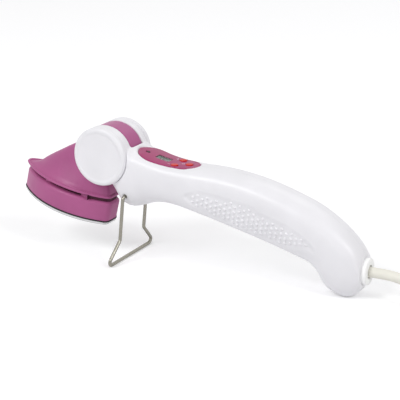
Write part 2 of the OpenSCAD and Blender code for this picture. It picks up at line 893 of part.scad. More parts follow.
module plug_pins() {
    color(steel)
        for (side = [-1, 1])
            translate([plug_start + plug_length, lead_end[1] + side * plug_pitch / 2, plug_z])
                rotate([0, 90, 0])
                    cylinder(h = plug_pin_length, r = plug_pin / 2);
}

// Leaf outline of the sole, drawn in by an inset
half_sole = sole_width / 2;
side_radius = ((sole_widest - nose_radius) ^ 2 / (half_sole - nose_radius) + nose_radius + half_sole) / 2;
side_back = side_radius - half_sole;
widest_x = sole_widest - nose_reach;
sole_rear = sole_length - nose_reach;
function leaf(inset) =
    let (
        rs = side_radius - inset,
        rn = max(nose_radius - inset, 0.4),
        rc = max(corner_radius - inset, 0.6),
        nose_cx = widest_x - sqrt((rs - rn) ^ 2 - side_back ^ 2),
        cx = sole_rear - inset - rc,
        cy = sqrt((rs - rc) ^ 2 - (cx - widest_x) ^ 2) - side_back,
        a_corner = atan2(cy + side_back, cx - widest_x),
        a_nose = atan2(side_back, nose_cx - widest_x),
        upper = concat(
            arc([cx, cy], rc, 0, a_corner, 4),
            [for (p = arc([widest_x, -side_back], rs, a_corner, a_nose, 11)) if (p[1] > -1) p],
            arc([nose_cx, 0], rn, a_nose, 180, 4)
        )
    )
    concat(
        [for (i = [0 : len(upper) - 1]) if (i == 0 || norm(upper[i] - upper[i - 1]) > eps) upper[i]],
        [
            for (i = [len(upper) - 2 : -1 : 0])
                if (norm(upper[i] - upper[i + 1]) > eps) [upper[i][0], -upper[i][1]]
        ]
    );
function at_level(outline, z) = [for (p = outline) [p[0], p[1], z]];

// Levels of the head, measured from the tilt axis
sole_face = -sole_drop;
sole_top = sole_face + sole_thickness;
housing_low = sole_top + gasket_thickness;
housing_top = housing_low + housing_height;
lip_low = housing_top + air_gap;
housing_round = 2.2;
housing_wall = 2.4;
deck_low = housing_top - housing_wall;
element_r = element_diameter / 2;
element_z = sole_top + element_r + 1;
element_half = 7;
element_bend = [27.6 - nose_reach, 0];
element_rear = sole_rear - 17.2;
terminal_x = element_rear + 2.6;
clamp_post_x = element_bend[0] + 10;
nose_boss = [11.2 - nose_reach, 0];
rear_boss = [sole_rear - 8.2, 5.2];
boss_r = 2.8;
sole_screw_r = 1.2;
cable_hole = [clamp_post_x + 8, 0];
cable_hole_r = 3.2;
clip_x = (sole_rear - nose_reach) / 2 + 0.2;
clip_y = half_sole - 5.3;
rest_y = half_sole - 5.7;
rest_places = [element_rear, element_bend[0] - 4];
clip_half = 3;
shield_t = 0.6;

module sole_boss_places() {
    for (p = [nose_boss, rear_boss, [rear_boss[0], -rear_boss[1]]])
        translate([p[0], p[1], 0])
            children();
}
module sole_housing() {
    color(purple)
        in_head()
            difference() {
                union() {
                    loft(concat(
                        [at_level(leaf(0), housing_low)],
                        [for (a = [0 : 30 : 90])
                            at_level(
                                leaf(housing_round * (1 - cos(a))),
                                housing_top - housing_round * (1 - sin(a))
                            )]
                    ));
                    for (side = [-1, 1])
                        for (x = rest_places)
                            block(
                                x - 2.5, x + 2.5,
                                side * rest_y - 1, side * rest_y + 1,
                                housing_top - 1, lip_low
                            );
                }
                translate([0, 0, housing_low - 1])
                    linear_extrude(height = deck_low - housing_low + 1)
                        polygon(leaf(housing_wall));
                sole_boss_places()
                    translate([0, 0, deck_low - 1])
                        cylinder(h = 6, r = sole_screw_r + 0.3);
                translate([cable_hole[0], cable_hole[1], deck_low - 1])
                    cylinder(h = 6, r = cable_hole_r);
                for (side = [-1, 1])
                    block(
                        clip_x - clip_half - 0.3, clip_x + clip_half + 0.3,
                        side * (clip_y + 0.3) - 1.5, side * (clip_y + 0.3) + 1.5,
                        deck_low - 1, housing_top + 1
                    );
            }
}
module sole_gasket() {
    color(black)
        in_head()
            translate([0, 0, sole_top])
                linear_extrude(height = gasket_thickness)
                    difference() {
                        polygon(leaf(0));
                        polygon(leaf(housing_wall));
                    }
}
module element_path(r) {
    for (side = [-1, 1])
        bar(
            [element_rear, side * element_half, element_z],
            [element_bend[0], side * element_half, element_z], r
        );
    translate([element_bend[0], 0, element_z])
        rotate([0, 0, 90])
            rotate_extrude(angle = 180)
                translate([element_half, 0])
                    circle(r = r);
}
module soleplate() {
    rib = element_r + 1.3;
    color([0.85, 0.85, 0.86])
        in_head()
            difference() {
                union() {
                    translate([0, 0, sole_face])
                        linear_extrude(height = sole_edge_height)
                            polygon(leaf(sole_edge + 0.4));
                    translate([0, 0, sole_face + sole_edge_height])
                        linear_extrude(height = sole_thickness - sole_edge_height)
                            polygon(leaf(sole_edge));
                    for (side = [-1, 1])
                        block(
                            element_bend[0], element_rear,
                            side * element_half - rib, side * element_half + rib,
                            sole_top - 0.5, element_z
                        );
                    translate([element_bend[0], 0, sole_top - 0.5])
                        difference() {
                            cylinder(h = element_z - sole_top + 0.5, r = element_half + rib);
                            translate([0, 0, -1])
                                cylinder(h = 20, r = element_half - rib);
                            translate([0, -50, -1])
                                cube([50, 100, 20]);
                        }
                    sole_boss_places()
                        translate([0, 0, sole_top - 0.5])
                            cylinder(h = deck_low - sole_top + 0.5, r = boss_r);
                    translate([clamp_post_x, 0, sole_top - 0.5])
                        cylinder(h = element_z + element_r - sole_top + 0.55, r = 2.4);
                }
                element_path(element_r + 0.05);
                sole_boss_places()
                    translate([0, 0, deck_low - 7])
                        cylinder(h = 10, r = sole_screw_r + 0.05);
                translate([clamp_post_x, 0, element_z + element_r - 6])
                    cylinder(h = 10, r = 1.05);
            }
}
module heating_element() {
    color([0.4, 0.4, 0.4])
        in_head() {
            element_path(element_r);
            for (side = [-1, 1])
                bar(
                    [element_rear - 1, side * element_half, element_z],
                    [terminal_x + 1.4, side * element_half, element_z], 0.9
                );
        }
}
module element_clamp() {
    low = element_z + element_r + 0.05;
    color(steel)
        in_head()
            difference() {
                block(clamp_post_x - 4, clamp_post_x + 4, -10, 10, low, low + 1);
                translate([clamp_post_x, 0, low - 1])
                    cylinder(h = 4, r = 1.2);
            }
}
module element_screw() {
    low = element_z + element_r + 0.05;
    color(steel)
        in_head()
            translate([clamp_post_x, 0, low]) {
                translate([0, 0, -5])
                    cylinder(h = 6.2, r = 1);
                translate([0, 0, 1])
                    cylinder(h = 1.4, r = 2);
            }
}
module heat_shield() {
    color(steel)
        in_head()
            difference() {
                translate([0, 0, deck_low - shield_t])
                    linear_extrude(height = shield_t)
                        intersection() {
                            polygon(leaf(6.6));
                            translate([nose_boss[0] + boss_r + 0.5, -30])
                                square(60);
                        }
                sole_boss_places()
                    translate([0, 0, deck_low - 2])
                        cylinder(h = 4, r = boss_r + 0.3);
                translate([cable_hole[0], cable_hole[1], deck_low - 2])
                    cylinder(h = 4, r = cable_hole_r);
            }
}
module thermal_fuse() {
    color([0.75, 0.7, 0.6])
        in_head() {
            translate([clamp_post_x, 0, sole_top + 1.8]) {
                bar([4.5, 0, 0], [13, 0, 0], 1.75);
                bar([3, 0, 0], [16, 0, 0], 0.5);
            }
        }
}
module thermistor() {
    color([0.3, 0.3, 0.35])
        in_head()
            translate([element_bend[0] + 2, 0, sole_top]) {
                cylinder(h = 1.2, r = 2.2);
                translate([0, 0, 1])
                    cylinder(h = 2.6, r = 1.3);
            }
}
module sole_screws() {
    color(steel)
        in_head()
            sole_boss_places() {
                translate([0, 0, deck_low - 6])
                    cylinder(h = 6 + housing_wall + 0.2, r = sole_screw_r);
                translate([0, 0, housing_top])
                    cylinder(h = 1.5, r = 2.3);
            }
}
module head_cable() {
    color(black)
        in_head()
            for (side = [-1, 1])
                tube(
                    smooth_path([
                        [-2, side * 1.2, -1.2], [-12, side * 1.2, -7], [-23, side * 1.2, -14.5],
                        [-22, side * 1.2, -24], [cable_hole[0] - 1, side * 1.2, housing_top + 1.7],
                        [cable_hole[0], side * 1.2, deck_low - 0.8],
                        [cable_hole[0] + 4, side * 4, deck_low - 3],
                        [terminal_x, side * element_half, element_z + 3],
                        [terminal_x, side * element_half, element_z + 1.1]
                    ], 3),
                    0.9, 8, [0.2, 1, 0]
                );
}

// Hood: rings from the lip up into the drum as level, front, rear, half width and squareness
hood_rings = [
    [lip_low, -nose_reach - 0.9, sole_rear - 1.7, half_sole - 0.4, 0],
    [lip_low + 0.6, -nose_reach - 1.6, sole_rear - 1.3, half_sole - 0.1, 0],
    [lip_low + 1.2, -nose_reach - 1.3, sole_rear - 1.5, half_sole - 0.2, 0],
    [lip_low + 1.9, 2 - nose_reach, sole_rear - 2.1, half_sole - 1.3, 0.02],
    [lip_low + 2.5, 5.4 - nose_reach, sole_rear - 2.7, half_sole - 2.4, 0.05],
    [-26.2, 7.6 - nose_reach, sole_rear - 3.5, half_sole - 3.5, 0.12],
    [-23.4, 10.5 - nose_reach, sole_rear - 5, half_sole - 4.9, 0.25],
    [-20, 13.8 - nose_reach, sole_rear - 7.2, half_sole - 6.5, 0.4], [-15.6, -41, 0, 9, 0.55],
    [-10.4, -35, 0, 7.6, 0.75], [-6, -30, 0, 6.6, 0.9], [-1, -23.6, 0, 6.3, 1], [3, -18, 0, 6.2, 1]
];
hood_core = [
    [lip_low - 4, 6.6 - nose_reach, sole_rear - 5.6, half_sole - 4.9, 0],
    [lip_low + 1.6, 7.2 - nose_reach, sole_rear - 5.6, half_sole - 4.9, 0], [-24, -46.4, -6, 9.8, 0.2],
    [-20, -41.8, -12, 8, 0.4], [-15, -36.4, -18, 6, 0.6], [-11, -31.5, -20, 4.6, 0.8]
];
leaf_shape = [for (p = leaf(0)) [(p[0] + nose_reach) / sole_length, p[1] / half_sole]];
function sign_root(v) = sign(v) * sqrt(abs(v));
function hood_ring(h) = [
    for (p = leaf_shape)
    let (
        a = atan2(p[1], 2 * p[0] - 1),
        bx = (1 + sign_root(cos(a))) / 2,
        by = sign_root(sin(a)),
        sx = p[0] + (bx - p[0]) * h[4],
        sy = p[1] + (by - p[1]) * h[4]
    )
    [h[1] + (h[2] - h[1]) * sx, h[3] * sy, h[0]]
];
module hood() {
    color(purple)
        in_head()
            difference() {
                union() {
                    difference() {
                        loft([for (h = hood_rings) hood_ring(h)]);
                        for (side = [-1, 1])
                            cross_bar(0, 0, side * drum_half, side * 25, cap_r + fork_gap);
                        loft([for (h = hood_core) hood_ring(h)]);
                    }
                    cross_bar(0, 0, -drum_half, drum_half, drum_r);
                    for (side = [-1, 1]) {
                        block(
                            clip_x - clip_half, clip_x + clip_half,
                            side * (clip_y + 0.7) - 0.8, side * (clip_y + 0.7) + 0.8,
                            deck_low - 1.4, lip_low + 1
                        );
                        block(
                            clip_x - clip_half, clip_x + clip_half,
                            side * (clip_y - 0.4) - 0.5, side * (clip_y - 0.4) + 0.5,
                            deck_low - 1.4, deck_low - 0.1
                        );
                    }
                }
                cross_bar(0, 0, -25, 25, pivot_r + pivot_clearance);
                bar([0, 0, 0], [-24, 0, -15], 2.6);
            }
}

// Stand: one bent wire with thicker journals in the handle
wire_r = wire_diameter / 2;
journal_r = wire_r + 0.1;
leg_half = leg_span / 2;
foot_half = foot_width / 2;
foot_x = stand_x - 4.2;
splay_x = stand_x + (foot_x - stand_x) * (stand_z - splay_height) / (stand_z - wire_r);
module stand_wire() {
    half_path = [
        [stand_x, -11.5, stand_z], [stand_x, -leg_half, stand_z], [splay_x, -leg_half, splay_height],
        [foot_x, -foot_half, wire_r]
    ];
    other_half = flip([for (p = half_path) [p[0], -p[1], p[2]]]);
    color(steel) {
        tube(rounded(concat(half_path, other_half), wire_bend, 5), wire_r, 10, [1, 0, 0]);
        for (side = [-1, 1])
            cross_bar(stand_x, stand_z, side * 10.4, side * 12.9, journal_r);
    }
}

place() left_shell();
place() right_shell();
place() shell_screws();
place() left_cap();
place() right_cap();
place() left_pivot();
place() right_pivot();
place() pivot_screws();
place() friction_washers();
place() panel();
place() display_window();
place() indicator_lamp();
place() display();
place() control_board();
place() board_screws();
place() switches();
place() triac();
place() capacitor();
place() heater_cable();
place() mains_leads();
place() cord_bush();
place() inner_cord();
place() cord_clamp();
place() clamp_screws();
place() cord();
place() cord_coil();
place() cord_tie();
place() plug_lead();
place() plug_relief();
place() plug_body();
place() plug_pins();
place() hood();
place() sole_housing();
place() sole_gasket();
place() soleplate();
place() heating_element();
place() element_clamp();
place() element_screw();
place() heat_shield();
place() thermal_fuse();
place() thermistor();
place() sole_screws();
place() head_cable();
place() stand_wire();
place() up_button();
place() down_button();
place() power_button();
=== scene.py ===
import json
import math

import bmesh
import bpy
from mathutils import Matrix, Vector


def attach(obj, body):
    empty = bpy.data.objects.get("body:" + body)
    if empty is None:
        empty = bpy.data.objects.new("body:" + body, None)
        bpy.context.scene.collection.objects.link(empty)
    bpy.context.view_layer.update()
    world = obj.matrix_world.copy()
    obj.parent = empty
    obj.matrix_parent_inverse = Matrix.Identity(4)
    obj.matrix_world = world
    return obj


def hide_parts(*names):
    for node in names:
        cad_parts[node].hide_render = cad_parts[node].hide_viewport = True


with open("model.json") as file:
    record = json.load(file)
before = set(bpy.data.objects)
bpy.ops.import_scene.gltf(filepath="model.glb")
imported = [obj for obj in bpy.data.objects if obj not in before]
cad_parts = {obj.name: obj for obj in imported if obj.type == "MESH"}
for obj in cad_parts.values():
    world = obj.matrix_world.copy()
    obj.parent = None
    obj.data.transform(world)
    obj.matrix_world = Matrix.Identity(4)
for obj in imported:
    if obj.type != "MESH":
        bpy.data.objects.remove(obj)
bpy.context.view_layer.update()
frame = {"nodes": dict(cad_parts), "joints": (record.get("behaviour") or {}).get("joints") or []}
scene = bpy.context.scene

# Sizes in millimetres, along the iron from the tilt axis and up from the table
MM = 0.001
TILT_POINT = next(j for j in frame["joints"] if j["name"] == "head_tilt")["pos_m"]
AXIS_X = TILT_POINT[0] / MM
AXIS_HEIGHT = TILT_POINT[2] / MM
REST_TILT = 13.5
TAIL = 176.5
NECK_WIDTH = 32.4
GRIP_WIDTH = 29
WALL = 2.6
CAP_R = 19
DRUM_R = 18.6
DRUM_HALF = 6.8
FORK_GAP = 0.6
CHEEK_IN = DRUM_HALF + FORK_GAP
CHEEK_OUT = 13.5
CAP_THICKNESS = 4.5
POCKET_R = 16.6
PLATE_OUT = CHEEK_IN + 2.2
PIVOT_R = 5
STAND_X = 16
STAND_Z = AXIS_HEIGHT - 25
WIRE_R = 1.15
CORD_R = 3.25
CORD_Z = 17.4

HANDLE_FRAME = Matrix.Scale(MM, 4) @ Matrix.Translation((AXIS_X, 0, 0))
HEAD_FRAME = (
    HANDLE_FRAME
    @ Matrix.Translation((0, 0, AXIS_HEIGHT))
    @ Matrix.Rotation(math.radians(REST_TILT), 4, "Y")
)


def at(x, y, z):
    return HANDLE_FRAME @ Vector((x, y, z))


# Smooth curve through rows of a place and a value
def rate(rows, i):
    a = rows[max(i - 1, 0)]
    b = rows[min(i + 1, len(rows) - 1)]
    return (b[1] - a[1]) / (b[0] - a[0])


def curve(rows, x):
    i = 0
    while i < len(rows) - 2 and x >= rows[i + 1][0]:
        i += 1
    a, b = rows[i], rows[i + 1]
    d = b[0] - a[0]
    t = (x - a[0]) / d
    return (
        a[1] * (2 * t**3 - 3 * t**2 + 1)
        + rate(rows, i) * d * (t**3 - 2 * t**2 + t)
        + b[1] * (3 * t**2 - 2 * t**3)
        + rate(rows, i + 1) * d * (t**3 - t**2)
    )


def steps(low, high, count):
    return [low + (high - low) * i / count for i in range(count + 1)]


# Camera at the photograph's viewing angle
CAMERA_AZIMUTH = 27.25
CAMERA_ELEVATION = 17.65
CAMERA_PLACE = (389.9, -633.9, 272.7)
CAMERA_LENS = 106.69
SENSOR_WIDTH = 36
FARTHEST_SEEN = 100


def make_camera():
    azimuth = math.radians(CAMERA_AZIMUTH)
    elevation = math.radians(CAMERA_ELEVATION)
    back = Vector(
        (
            math.sin(azimuth) * math.cos(elevation),
            -math.cos(azimuth) * math.cos(elevation),
            math.sin(elevation),
        )
    )
    data = bpy.data.cameras.new("camera")
    data.sensor_width = SENSOR_WIDTH
    data.lens = CAMERA_LENS
    data.clip_end = FARTHEST_SEEN
    camera = bpy.data.objects.new("camera", data)
    camera.location = at(*CAMERA_PLACE)
    camera.rotation_mode = "QUATERNION"
    camera.rotation_quaternion = (-back).to_track_quat("-Z", "Y")
    scene.collection.objects.link(camera)
    scene.camera = camera


make_camera()


# Route of the cord, the same as in the part's source: out, down and aside, then a tied hank
COIL_RADIUS = 20
COIL_PITCH = 7
LAYER_TURNS = 2
LAYERS = 3
HALF_TURNS = 2 * LAYER_TURNS * LAYERS
FOLD_OUTER = COIL_RADIUS + LAYER_TURNS * COIL_PITCH
STRAP = 0.6
COIL_LOW = STRAP + 0.2 + CORD_R
COIL_TOP = COIL_LOW + (LAYERS - 1) * COIL_PITCH + CORD_R
HANK_X = TAIL + 88
HANK_RUN = 58
PLUG_THICK = 13.7
PLUG_Z = COIL_TOP + STRAP + PLUG_THICK / 2
PLUG_CLIMB = PLUG_Z - (COIL_TOP - CORD_R)
CORD_END = HANK_X - 2 * CORD_R
# Rows of the distance from the tail, then the shares of the way aside and of the way down
cord_rows = [
    (1, 0, 0),
    (8, 0, 0),
    (16, 0, 0.03),
    (25, 0.035, 0.13),
    (33.5, 0.13, 0.3),
    (41, 0.29, 0.55),
    (47, 0.5, 0.765),
    (53, 0.71, 0.915),
    (60.5, 0.87, 0.99),
    (69, 0.965, 1),
    (77, 1, 1),
    (CORD_END - TAIL, 1, 1),
]
aside = [(row[0], row[1]) for row in cord_rows]
down = [(row[0], row[2]) for row in cord_rows]


def free_point(along):
    return (
        TAIL + along,
        -curve(aside, along) * FOLD_OUTER,
        CORD_Z - curve(down, along) * (CORD_Z - COIL_LOW),
    )


def ease(t):
    return 3 * t**2 - 2 * t**3


def fold_radius(turn):
    return COIL_RADIUS + COIL_PITCH * abs(LAYER_TURNS - turn % (2 * LAYER_TURNS))


def fold_point(half, t):
    turn = (half + t) / 2
    r = fold_radius(turn)
    climb = PLUG_CLIMB * ease(t) if half == HALF_TURNS - 1 else 0
    return (
        HANK_X + (HANK_RUN if half % 2 == 0 else 0) + r * math.sin(2 * math.pi * turn),
        -r * math.cos(2 * math.pi * turn),
        COIL_LOW + COIL_PITCH * (half // (2 * LAYER_TURNS)) + climb,
    )


def run_point(half, t):
    a = fold_point(half - 1, 1)
    b = fold_point(half, 0)
    return (a[0] + (b[0] - a[0]) * t, a[1], a[2] + (b[2] - a[2]) * ease(t))


LEAD_START = HANK_X + 2 * CORD_R
LEAD_END = LEAD_START + 8
FREE_STEPS = 32
RUN_STEPS = 8
FOLD_STEPS = 18
LEAD_STEPS = 4
cord_route = [free_point(t) for t in steps(1, CORD_END - TAIL, FREE_STEPS)]
for half in range(HALF_TURNS):
    if half > 0:
        cord_route += [run_point(half, t) for t in steps(0, 1, RUN_STEPS)[1:-1]]
    cord_route += [fold_point(half, t) for t in steps(0, 1, FOLD_STEPS)]
cord_route += [(x, -COIL_RADIUS, PLUG_Z) for x in steps(LEAD_START, LEAD_END, LEAD_STEPS)]


def wire_piece(name, route, radius):
    """Round wire or cord along a route in the handle's frame."""
    data = bpy.data.curves.new(name, "CURVE")
    data.dimensions = "3D"
    data.bevel_depth = radius * MM
    data.bevel_resolution = 5
    data.use_fill_caps = True
    spline = data.splines.new("POLY")
    spline.points.add(len(route) - 1)
    for point, spot in zip(spline.points, route):
        point.co = (*at(*spot), 1)
    spline.use_smooth = True
    piece = bpy.data.objects.new(name, data)
    scene.collection.objects.link(piece)
    return piece


mains_cord = wire_piece("mains_cord", cord_route, CORD_R)


# Mesh helpers
SMOOTH_ANGLE = 35
MERGE_WITHIN = 0.0005
LEAST_R = 0.001
FAR_OUT = 30


def add_piece(name, verts, faces, matrix=None, smooth=SMOOTH_ANGLE):
    """Mesh piece; with a matrix it is cleaned, moved to its place and shaded."""
    mesh = bpy.data.meshes.new(name)
    mesh.from_pydata([tuple(v) for v in verts], [], faces)
    mesh.validate()
    piece = bpy.data.objects.new(name, mesh)
    scene.collection.objects.link(piece)
    if matrix is not None:
        settle(piece, matrix, smooth)
    return piece


def settle(piece, matrix, smooth=SMOOTH_ANGLE):
    mesh = piece.data
    work = bmesh.new()
    work.from_mesh(mesh)
    bmesh.ops.remove_doubles(work, verts=work.verts, dist=MERGE_WITHIN)
    bmesh.ops.recalc_face_normals(work, faces=work.faces)
    work.to_mesh(mesh)
    work.free()
    mesh.transform(matrix)
    shade(mesh, smooth)
    return piece


def shade(mesh, smooth=SMOOTH_ANGLE):
    mesh.polygons.foreach_set("use_smooth", [True] * len(mesh.polygons))
    mesh.set_sharp_from_angle(angle=math.radians(smooth))


def loft_data(rings, close_start=True, close_end=True):
    """Corners and faces of a skin over rings of equal length."""
    n = len(rings[0])
    verts = [p for ring in rings for p in ring]
    faces = []
    for i in range(len(rings) - 1):
        for j in range(n):
            k = (j + 1) % n
            faces.append((i * n + j, i * n + k, (i + 1) * n + k, (i + 1) * n + j))
    if close_start:
        faces.append(tuple(reversed(range(n))))
    if close_end:
        faces.append(tuple(range((len(rings) - 1) * n, len(rings) * n)))
    return verts, faces


def add_data(verts, faces, more_verts, more_faces):
    """Adds the corners and faces of one more body to lists that grow."""
    first = len(verts)
    verts += more_verts
    faces += [tuple(first + k for k in face) for face in more_faces]


def lathe_data(profile, sides, turn, closed=True):
    """Rings about the Z axis from rows of radius and height, turned by a matrix."""
    angles = [2 * math.pi * j / sides for j in range(sides)]
    rings = []
    for radius, height in profile:
        r = max(radius, LEAST_R)
        rings.append([turn @ Vector((r * math.cos(a), r * math.sin(a), height)) for a in angles])
    return loft_data(rings, closed, closed)


ALONG_X = Matrix.Rotation(math.radians(90), 4, "Y")
ALONG_Y = Matrix.Rotation(math.radians(-90), 4, "X")


def place(x, y, z):
    return Matrix.Translation((x, y, z))


def rod(name, start, end, radius, turn, sides=72):
    return add_piece(name, *lathe_data([(radius, start), (radius, end)], sides, turn))


def side_rod(name, side, near, far, radius, turn, sides=72):
    """Rod on one side of the middle, between two distances from it."""
    start, end = sorted((side * near, side * far))
    return rod(name, start, end, radius, turn, sides)


def arc(cx, cy, r, a0, a1, count):
    return [
        (cx + r * math.cos(math.radians(a)), cy + r * math.sin(math.radians(a)))
        for a in steps(a0, a1, count)
    ]


def apply(piece, modifier):
    bpy.context.view_layer.objects.active = piece
    with bpy.context.temp_override(object=piece, active_object=piece):
        bpy.ops.object.modifier_apply(modifier=modifier.name)


def combine(piece, tool, operation):
    """Changes a piece by a tool piece, which is used up."""
    modifier = piece.modifiers.new("combine", "BOOLEAN")
    modifier.object = tool
    modifier.operation = operation
    modifier.solver = "EXACT"
    apply(piece, modifier)
    data = tool.data
    bpy.data.objects.remove(tool)
    bpy.data.meshes.remove(data)


def cut(piece, tool):
    combine(piece, tool, "DIFFERENCE")


def join(piece, tool):
    combine(piece, tool, "UNION")


def soften(piece, voxel, rounds):
    """Rounds every edge a little, as a mould does."""
    remesh = piece.modifiers.new("remesh", "REMESH")
    remesh.mode = "VOXEL"
    remesh.voxel_size = voxel
    apply(piece, remesh)
    smooth = piece.modifiers.new("smooth", "SMOOTH")
    smooth.factor = 0.5
    smooth.iterations = rounds
    apply(piece, smooth)


# Materials: noise runs mostly between these two levels
NOISE_LOW = 0.3
NOISE_HIGH = 0.7


def linear(value):
    """Linear light of a colour level from 0 to 255."""
    value = value / 255
    return value / 12.92 if value <= 0.04045 else ((value + 0.055) / 1.055) ** 2.4


def rgb(r, g, b):
    return (linear(r), linear(g), linear(b), 1)


def scaled(colour, k):
    return (colour[0] * k, colour[1] * k, colour[2] * k, 1)


def new_material(name):
    material = bpy.data.materials.new(name)
    material.use_nodes = True
    nodes = material.node_tree.nodes
    links = material.node_tree.links
    shader = nodes["Principled BSDF"]
    where = nodes.new("ShaderNodeTexCoord")
    return material, nodes, links, shader, where.outputs["Object"]


def noise(nodes, links, where, scale, detail=3, stretch=None):
    texture = nodes.new("ShaderNodeTexNoise")
    texture.inputs["Scale"].default_value = scale
    texture.inputs["Detail"].default_value = detail
    if stretch is not None:
        mapping = nodes.new("ShaderNodeMapping")
        mapping.inputs["Scale"].default_value = stretch
        links.new(where, mapping.inputs["Vector"])
        where = mapping.outputs["Vector"]
    links.new(where, texture.inputs["Vector"])
    return texture.outputs["Fac"]


def spread_to(nodes, links, factor, low, high):
    ranged = nodes.new("ShaderNodeMapRange")
    ranged.inputs["From Min"].default_value = NOISE_LOW
    ranged.inputs["From Max"].default_value = NOISE_HIGH
    ranged.inputs["To Min"].default_value = low
    ranged.inputs["To Max"].default_value = high
    links.new(factor, ranged.inputs["Value"])
    return ranged.outputs["Result"]


def mix_colours(nodes, links, factor, first, second):
    ramp = nodes.new("ShaderNodeValToRGB")
    ramp.color_ramp.elements[0].position = NOISE_LOW
    ramp.color_ramp.elements[0].color = first
    ramp.color_ramp.elements[1].position = NOISE_HIGH
    ramp.color_ramp.elements[1].color = second
    links.new(factor, ramp.inputs["Fac"])
    return ramp.outputs["Color"]


def add_bump(nodes, links, shader, height, distance, strength):
    bump = nodes.new("ShaderNodeBump")
    bump.inputs["Strength"].default_value = strength
    bump.inputs["Distance"].default_value = distance
    links.new(height, bump.inputs["Height"])
    links.new(bump.outputs["Normal"], shader.inputs["Normal"])


def plastic(
    name, colour, rough, grain=1600, depth=0.00002, strength=0.25, vary=0.03, coat=0.0, shine=0.5
):
    """Moulded plastic or rubber: cloudy tone, uneven gloss and a fine grain."""
    material, nodes, links, shader, where = new_material(name)
    tone = noise(nodes, links, where, 45, 4)
    links.new(
        mix_colours(nodes, links, tone, scaled(colour, 1 - vary), scaled(colour, 1 + vary)),
        shader.inputs["Base Color"],
    )
    gloss = noise(nodes, links, where, 180, 2)
    links.new(
        spread_to(nodes, links, gloss, rough - 0.05, rough + 0.05),
        shader.inputs["Roughness"],
    )
    add_bump(nodes, links, shader, noise(nodes, links, where, grain, 2), depth, strength)
    shader.inputs["Specular IOR Level"].default_value = shine
    shader.inputs["Coat Weight"].default_value = coat
    shader.inputs["Coat Roughness"].default_value = 0.15
    return material


def metal(name, colour, rough, stretch, vary=0.08):
    """Drawn or ground metal: fine lines along one direction and small stains."""
    material, nodes, links, shader, where = new_material(name)
    shader.inputs["Metallic"].default_value = 1
    stain = noise(nodes, links, where, 120, 4)
    links.new(
        mix_colours(nodes, links, stain, scaled(colour, 1 - vary), colour),
        shader.inputs["Base Color"],
    )
    lines = noise(nodes, links, where, 900, 3, stretch)
    links.new(
        spread_to(nodes, links, lines, rough - 0.06, rough + 0.08),
        shader.inputs["Roughness"],
    )
    add_bump(nodes, links, shader, lines, 0.00001, 0.15)
    return material


WHITE = plastic("white_plastic", rgb(236, 235, 239), 0.4, coat=0.1)
# Paler copy of the white plastic for the cord bush: the bush's own white, made paler to paint the light
# that falls on its face
LIT_BUSH_WHITE = plastic("bush_white_painted_light", rgb(251, 251, 251), 0.45, vary=0.01)
PURPLE = plastic(
    "purple_plastic", rgb(174, 92, 140), 0.36, grain=1100, depth=0.00003, vary=0.05, shine=0.25
)
# Dark purple for the hood's inner wall: painted shade that stands for the dark air gap under the lip
PAINTED_GAP_SHADE = plastic(
    "painted_gap_shade_purple", rgb(72, 28, 48), 0.6, grain=1100, depth=0.00003, vary=0.08, shine=0.3
)
PINK = plastic("pink_panel", rgb(163, 62, 108), 0.42, vary=0.05, shine=0.3)
RED = plastic("red_button", rgb(204, 32, 25), 0.34, vary=0.05, shine=0.2)
BLACK_RUBBER = plastic(
    "black_rubber", rgb(26, 26, 27), 0.7, grain=900, depth=0.00004, strength=0.4, vary=0.15
)
BLACK_PLASTIC = plastic("black_plastic", rgb(34, 34, 36), 0.45, vary=0.1)
SHEATH = plastic("cord_sheath", rgb(232, 230, 220), 0.5, grain=800, depth=0.00003, strength=0.3)
BOARD = plastic(
    "circuit_board", rgb(28, 96, 58), 0.45, grain=300, depth=0.00005, strength=0.6, vary=0.25
)
SLEEVE = plastic("capacitor_sleeve", rgb(44, 56, 96), 0.35, vary=0.08)
CERAMIC = plastic("fuse_ceramic", rgb(214, 204, 178), 0.6, vary=0.08)
MARK = plastic("white_mark", rgb(226, 196, 210), 0.5, vary=0.02)
SCREEN = plastic("screen_grey", rgb(112, 117, 112), 0.5, vary=0.05, shine=0.2)
SEGMENT = plastic("screen_digit", rgb(104, 109, 104), 0.5, vary=0.05, shine=0.2)
LAMP = plastic("lamp_dark", rgb(52, 20, 30), 0.25, vary=0.1, shine=0.3)
STEEL = metal("plain_steel", rgb(188, 188, 184), 0.32, (1, 1, 6))
ELEMENT = metal("heated_steel", rgb(104, 100, 96), 0.45, (1, 4, 4), 0.25)
NICKEL = metal("nickel_wire", rgb(152, 149, 139), 0.26, (4, 4, 1))
SOLE = metal("sole_metal", rgb(208, 208, 209), 0.24, (0.15, 4, 4))
PIN = metal("plug_pin_metal", rgb(206, 200, 182), 0.25, (4, 1, 4))


def clear_window():
    material, nodes, links, shader, where = new_material("clear_window")
    shader.inputs["Base Color"].default_value = rgb(236, 240, 238)
    shader.inputs["Transmission Weight"].default_value = 1
    shader.inputs["IOR"].default_value = 1.2
    shader.inputs["Specular IOR Level"].default_value = 0.2
    links.new(
        spread_to(nodes, links, noise(nodes, links, where, 300, 2), 0.03, 0.08),
        shader.inputs["Roughness"],
    )
    return material


WINDOW = clear_window()


def dress(piece, material, body, *nodes, slot=None):
    """Gives a piece its material and its body, and hides the solids that it stands for."""
    piece.data.materials.clear()
    piece.data.materials.append(material)
    if nodes:
        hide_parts(*nodes)
    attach(piece, body)
    return piece


def paint(node, material):
    """Gives a solid of the frame a material in place of its own."""
    solid = frame["nodes"][node]
    if not solid.material_slots:
        solid.data.materials.append(material)
    for holder in solid.material_slots:
        holder.material = material
    shade(solid.data)


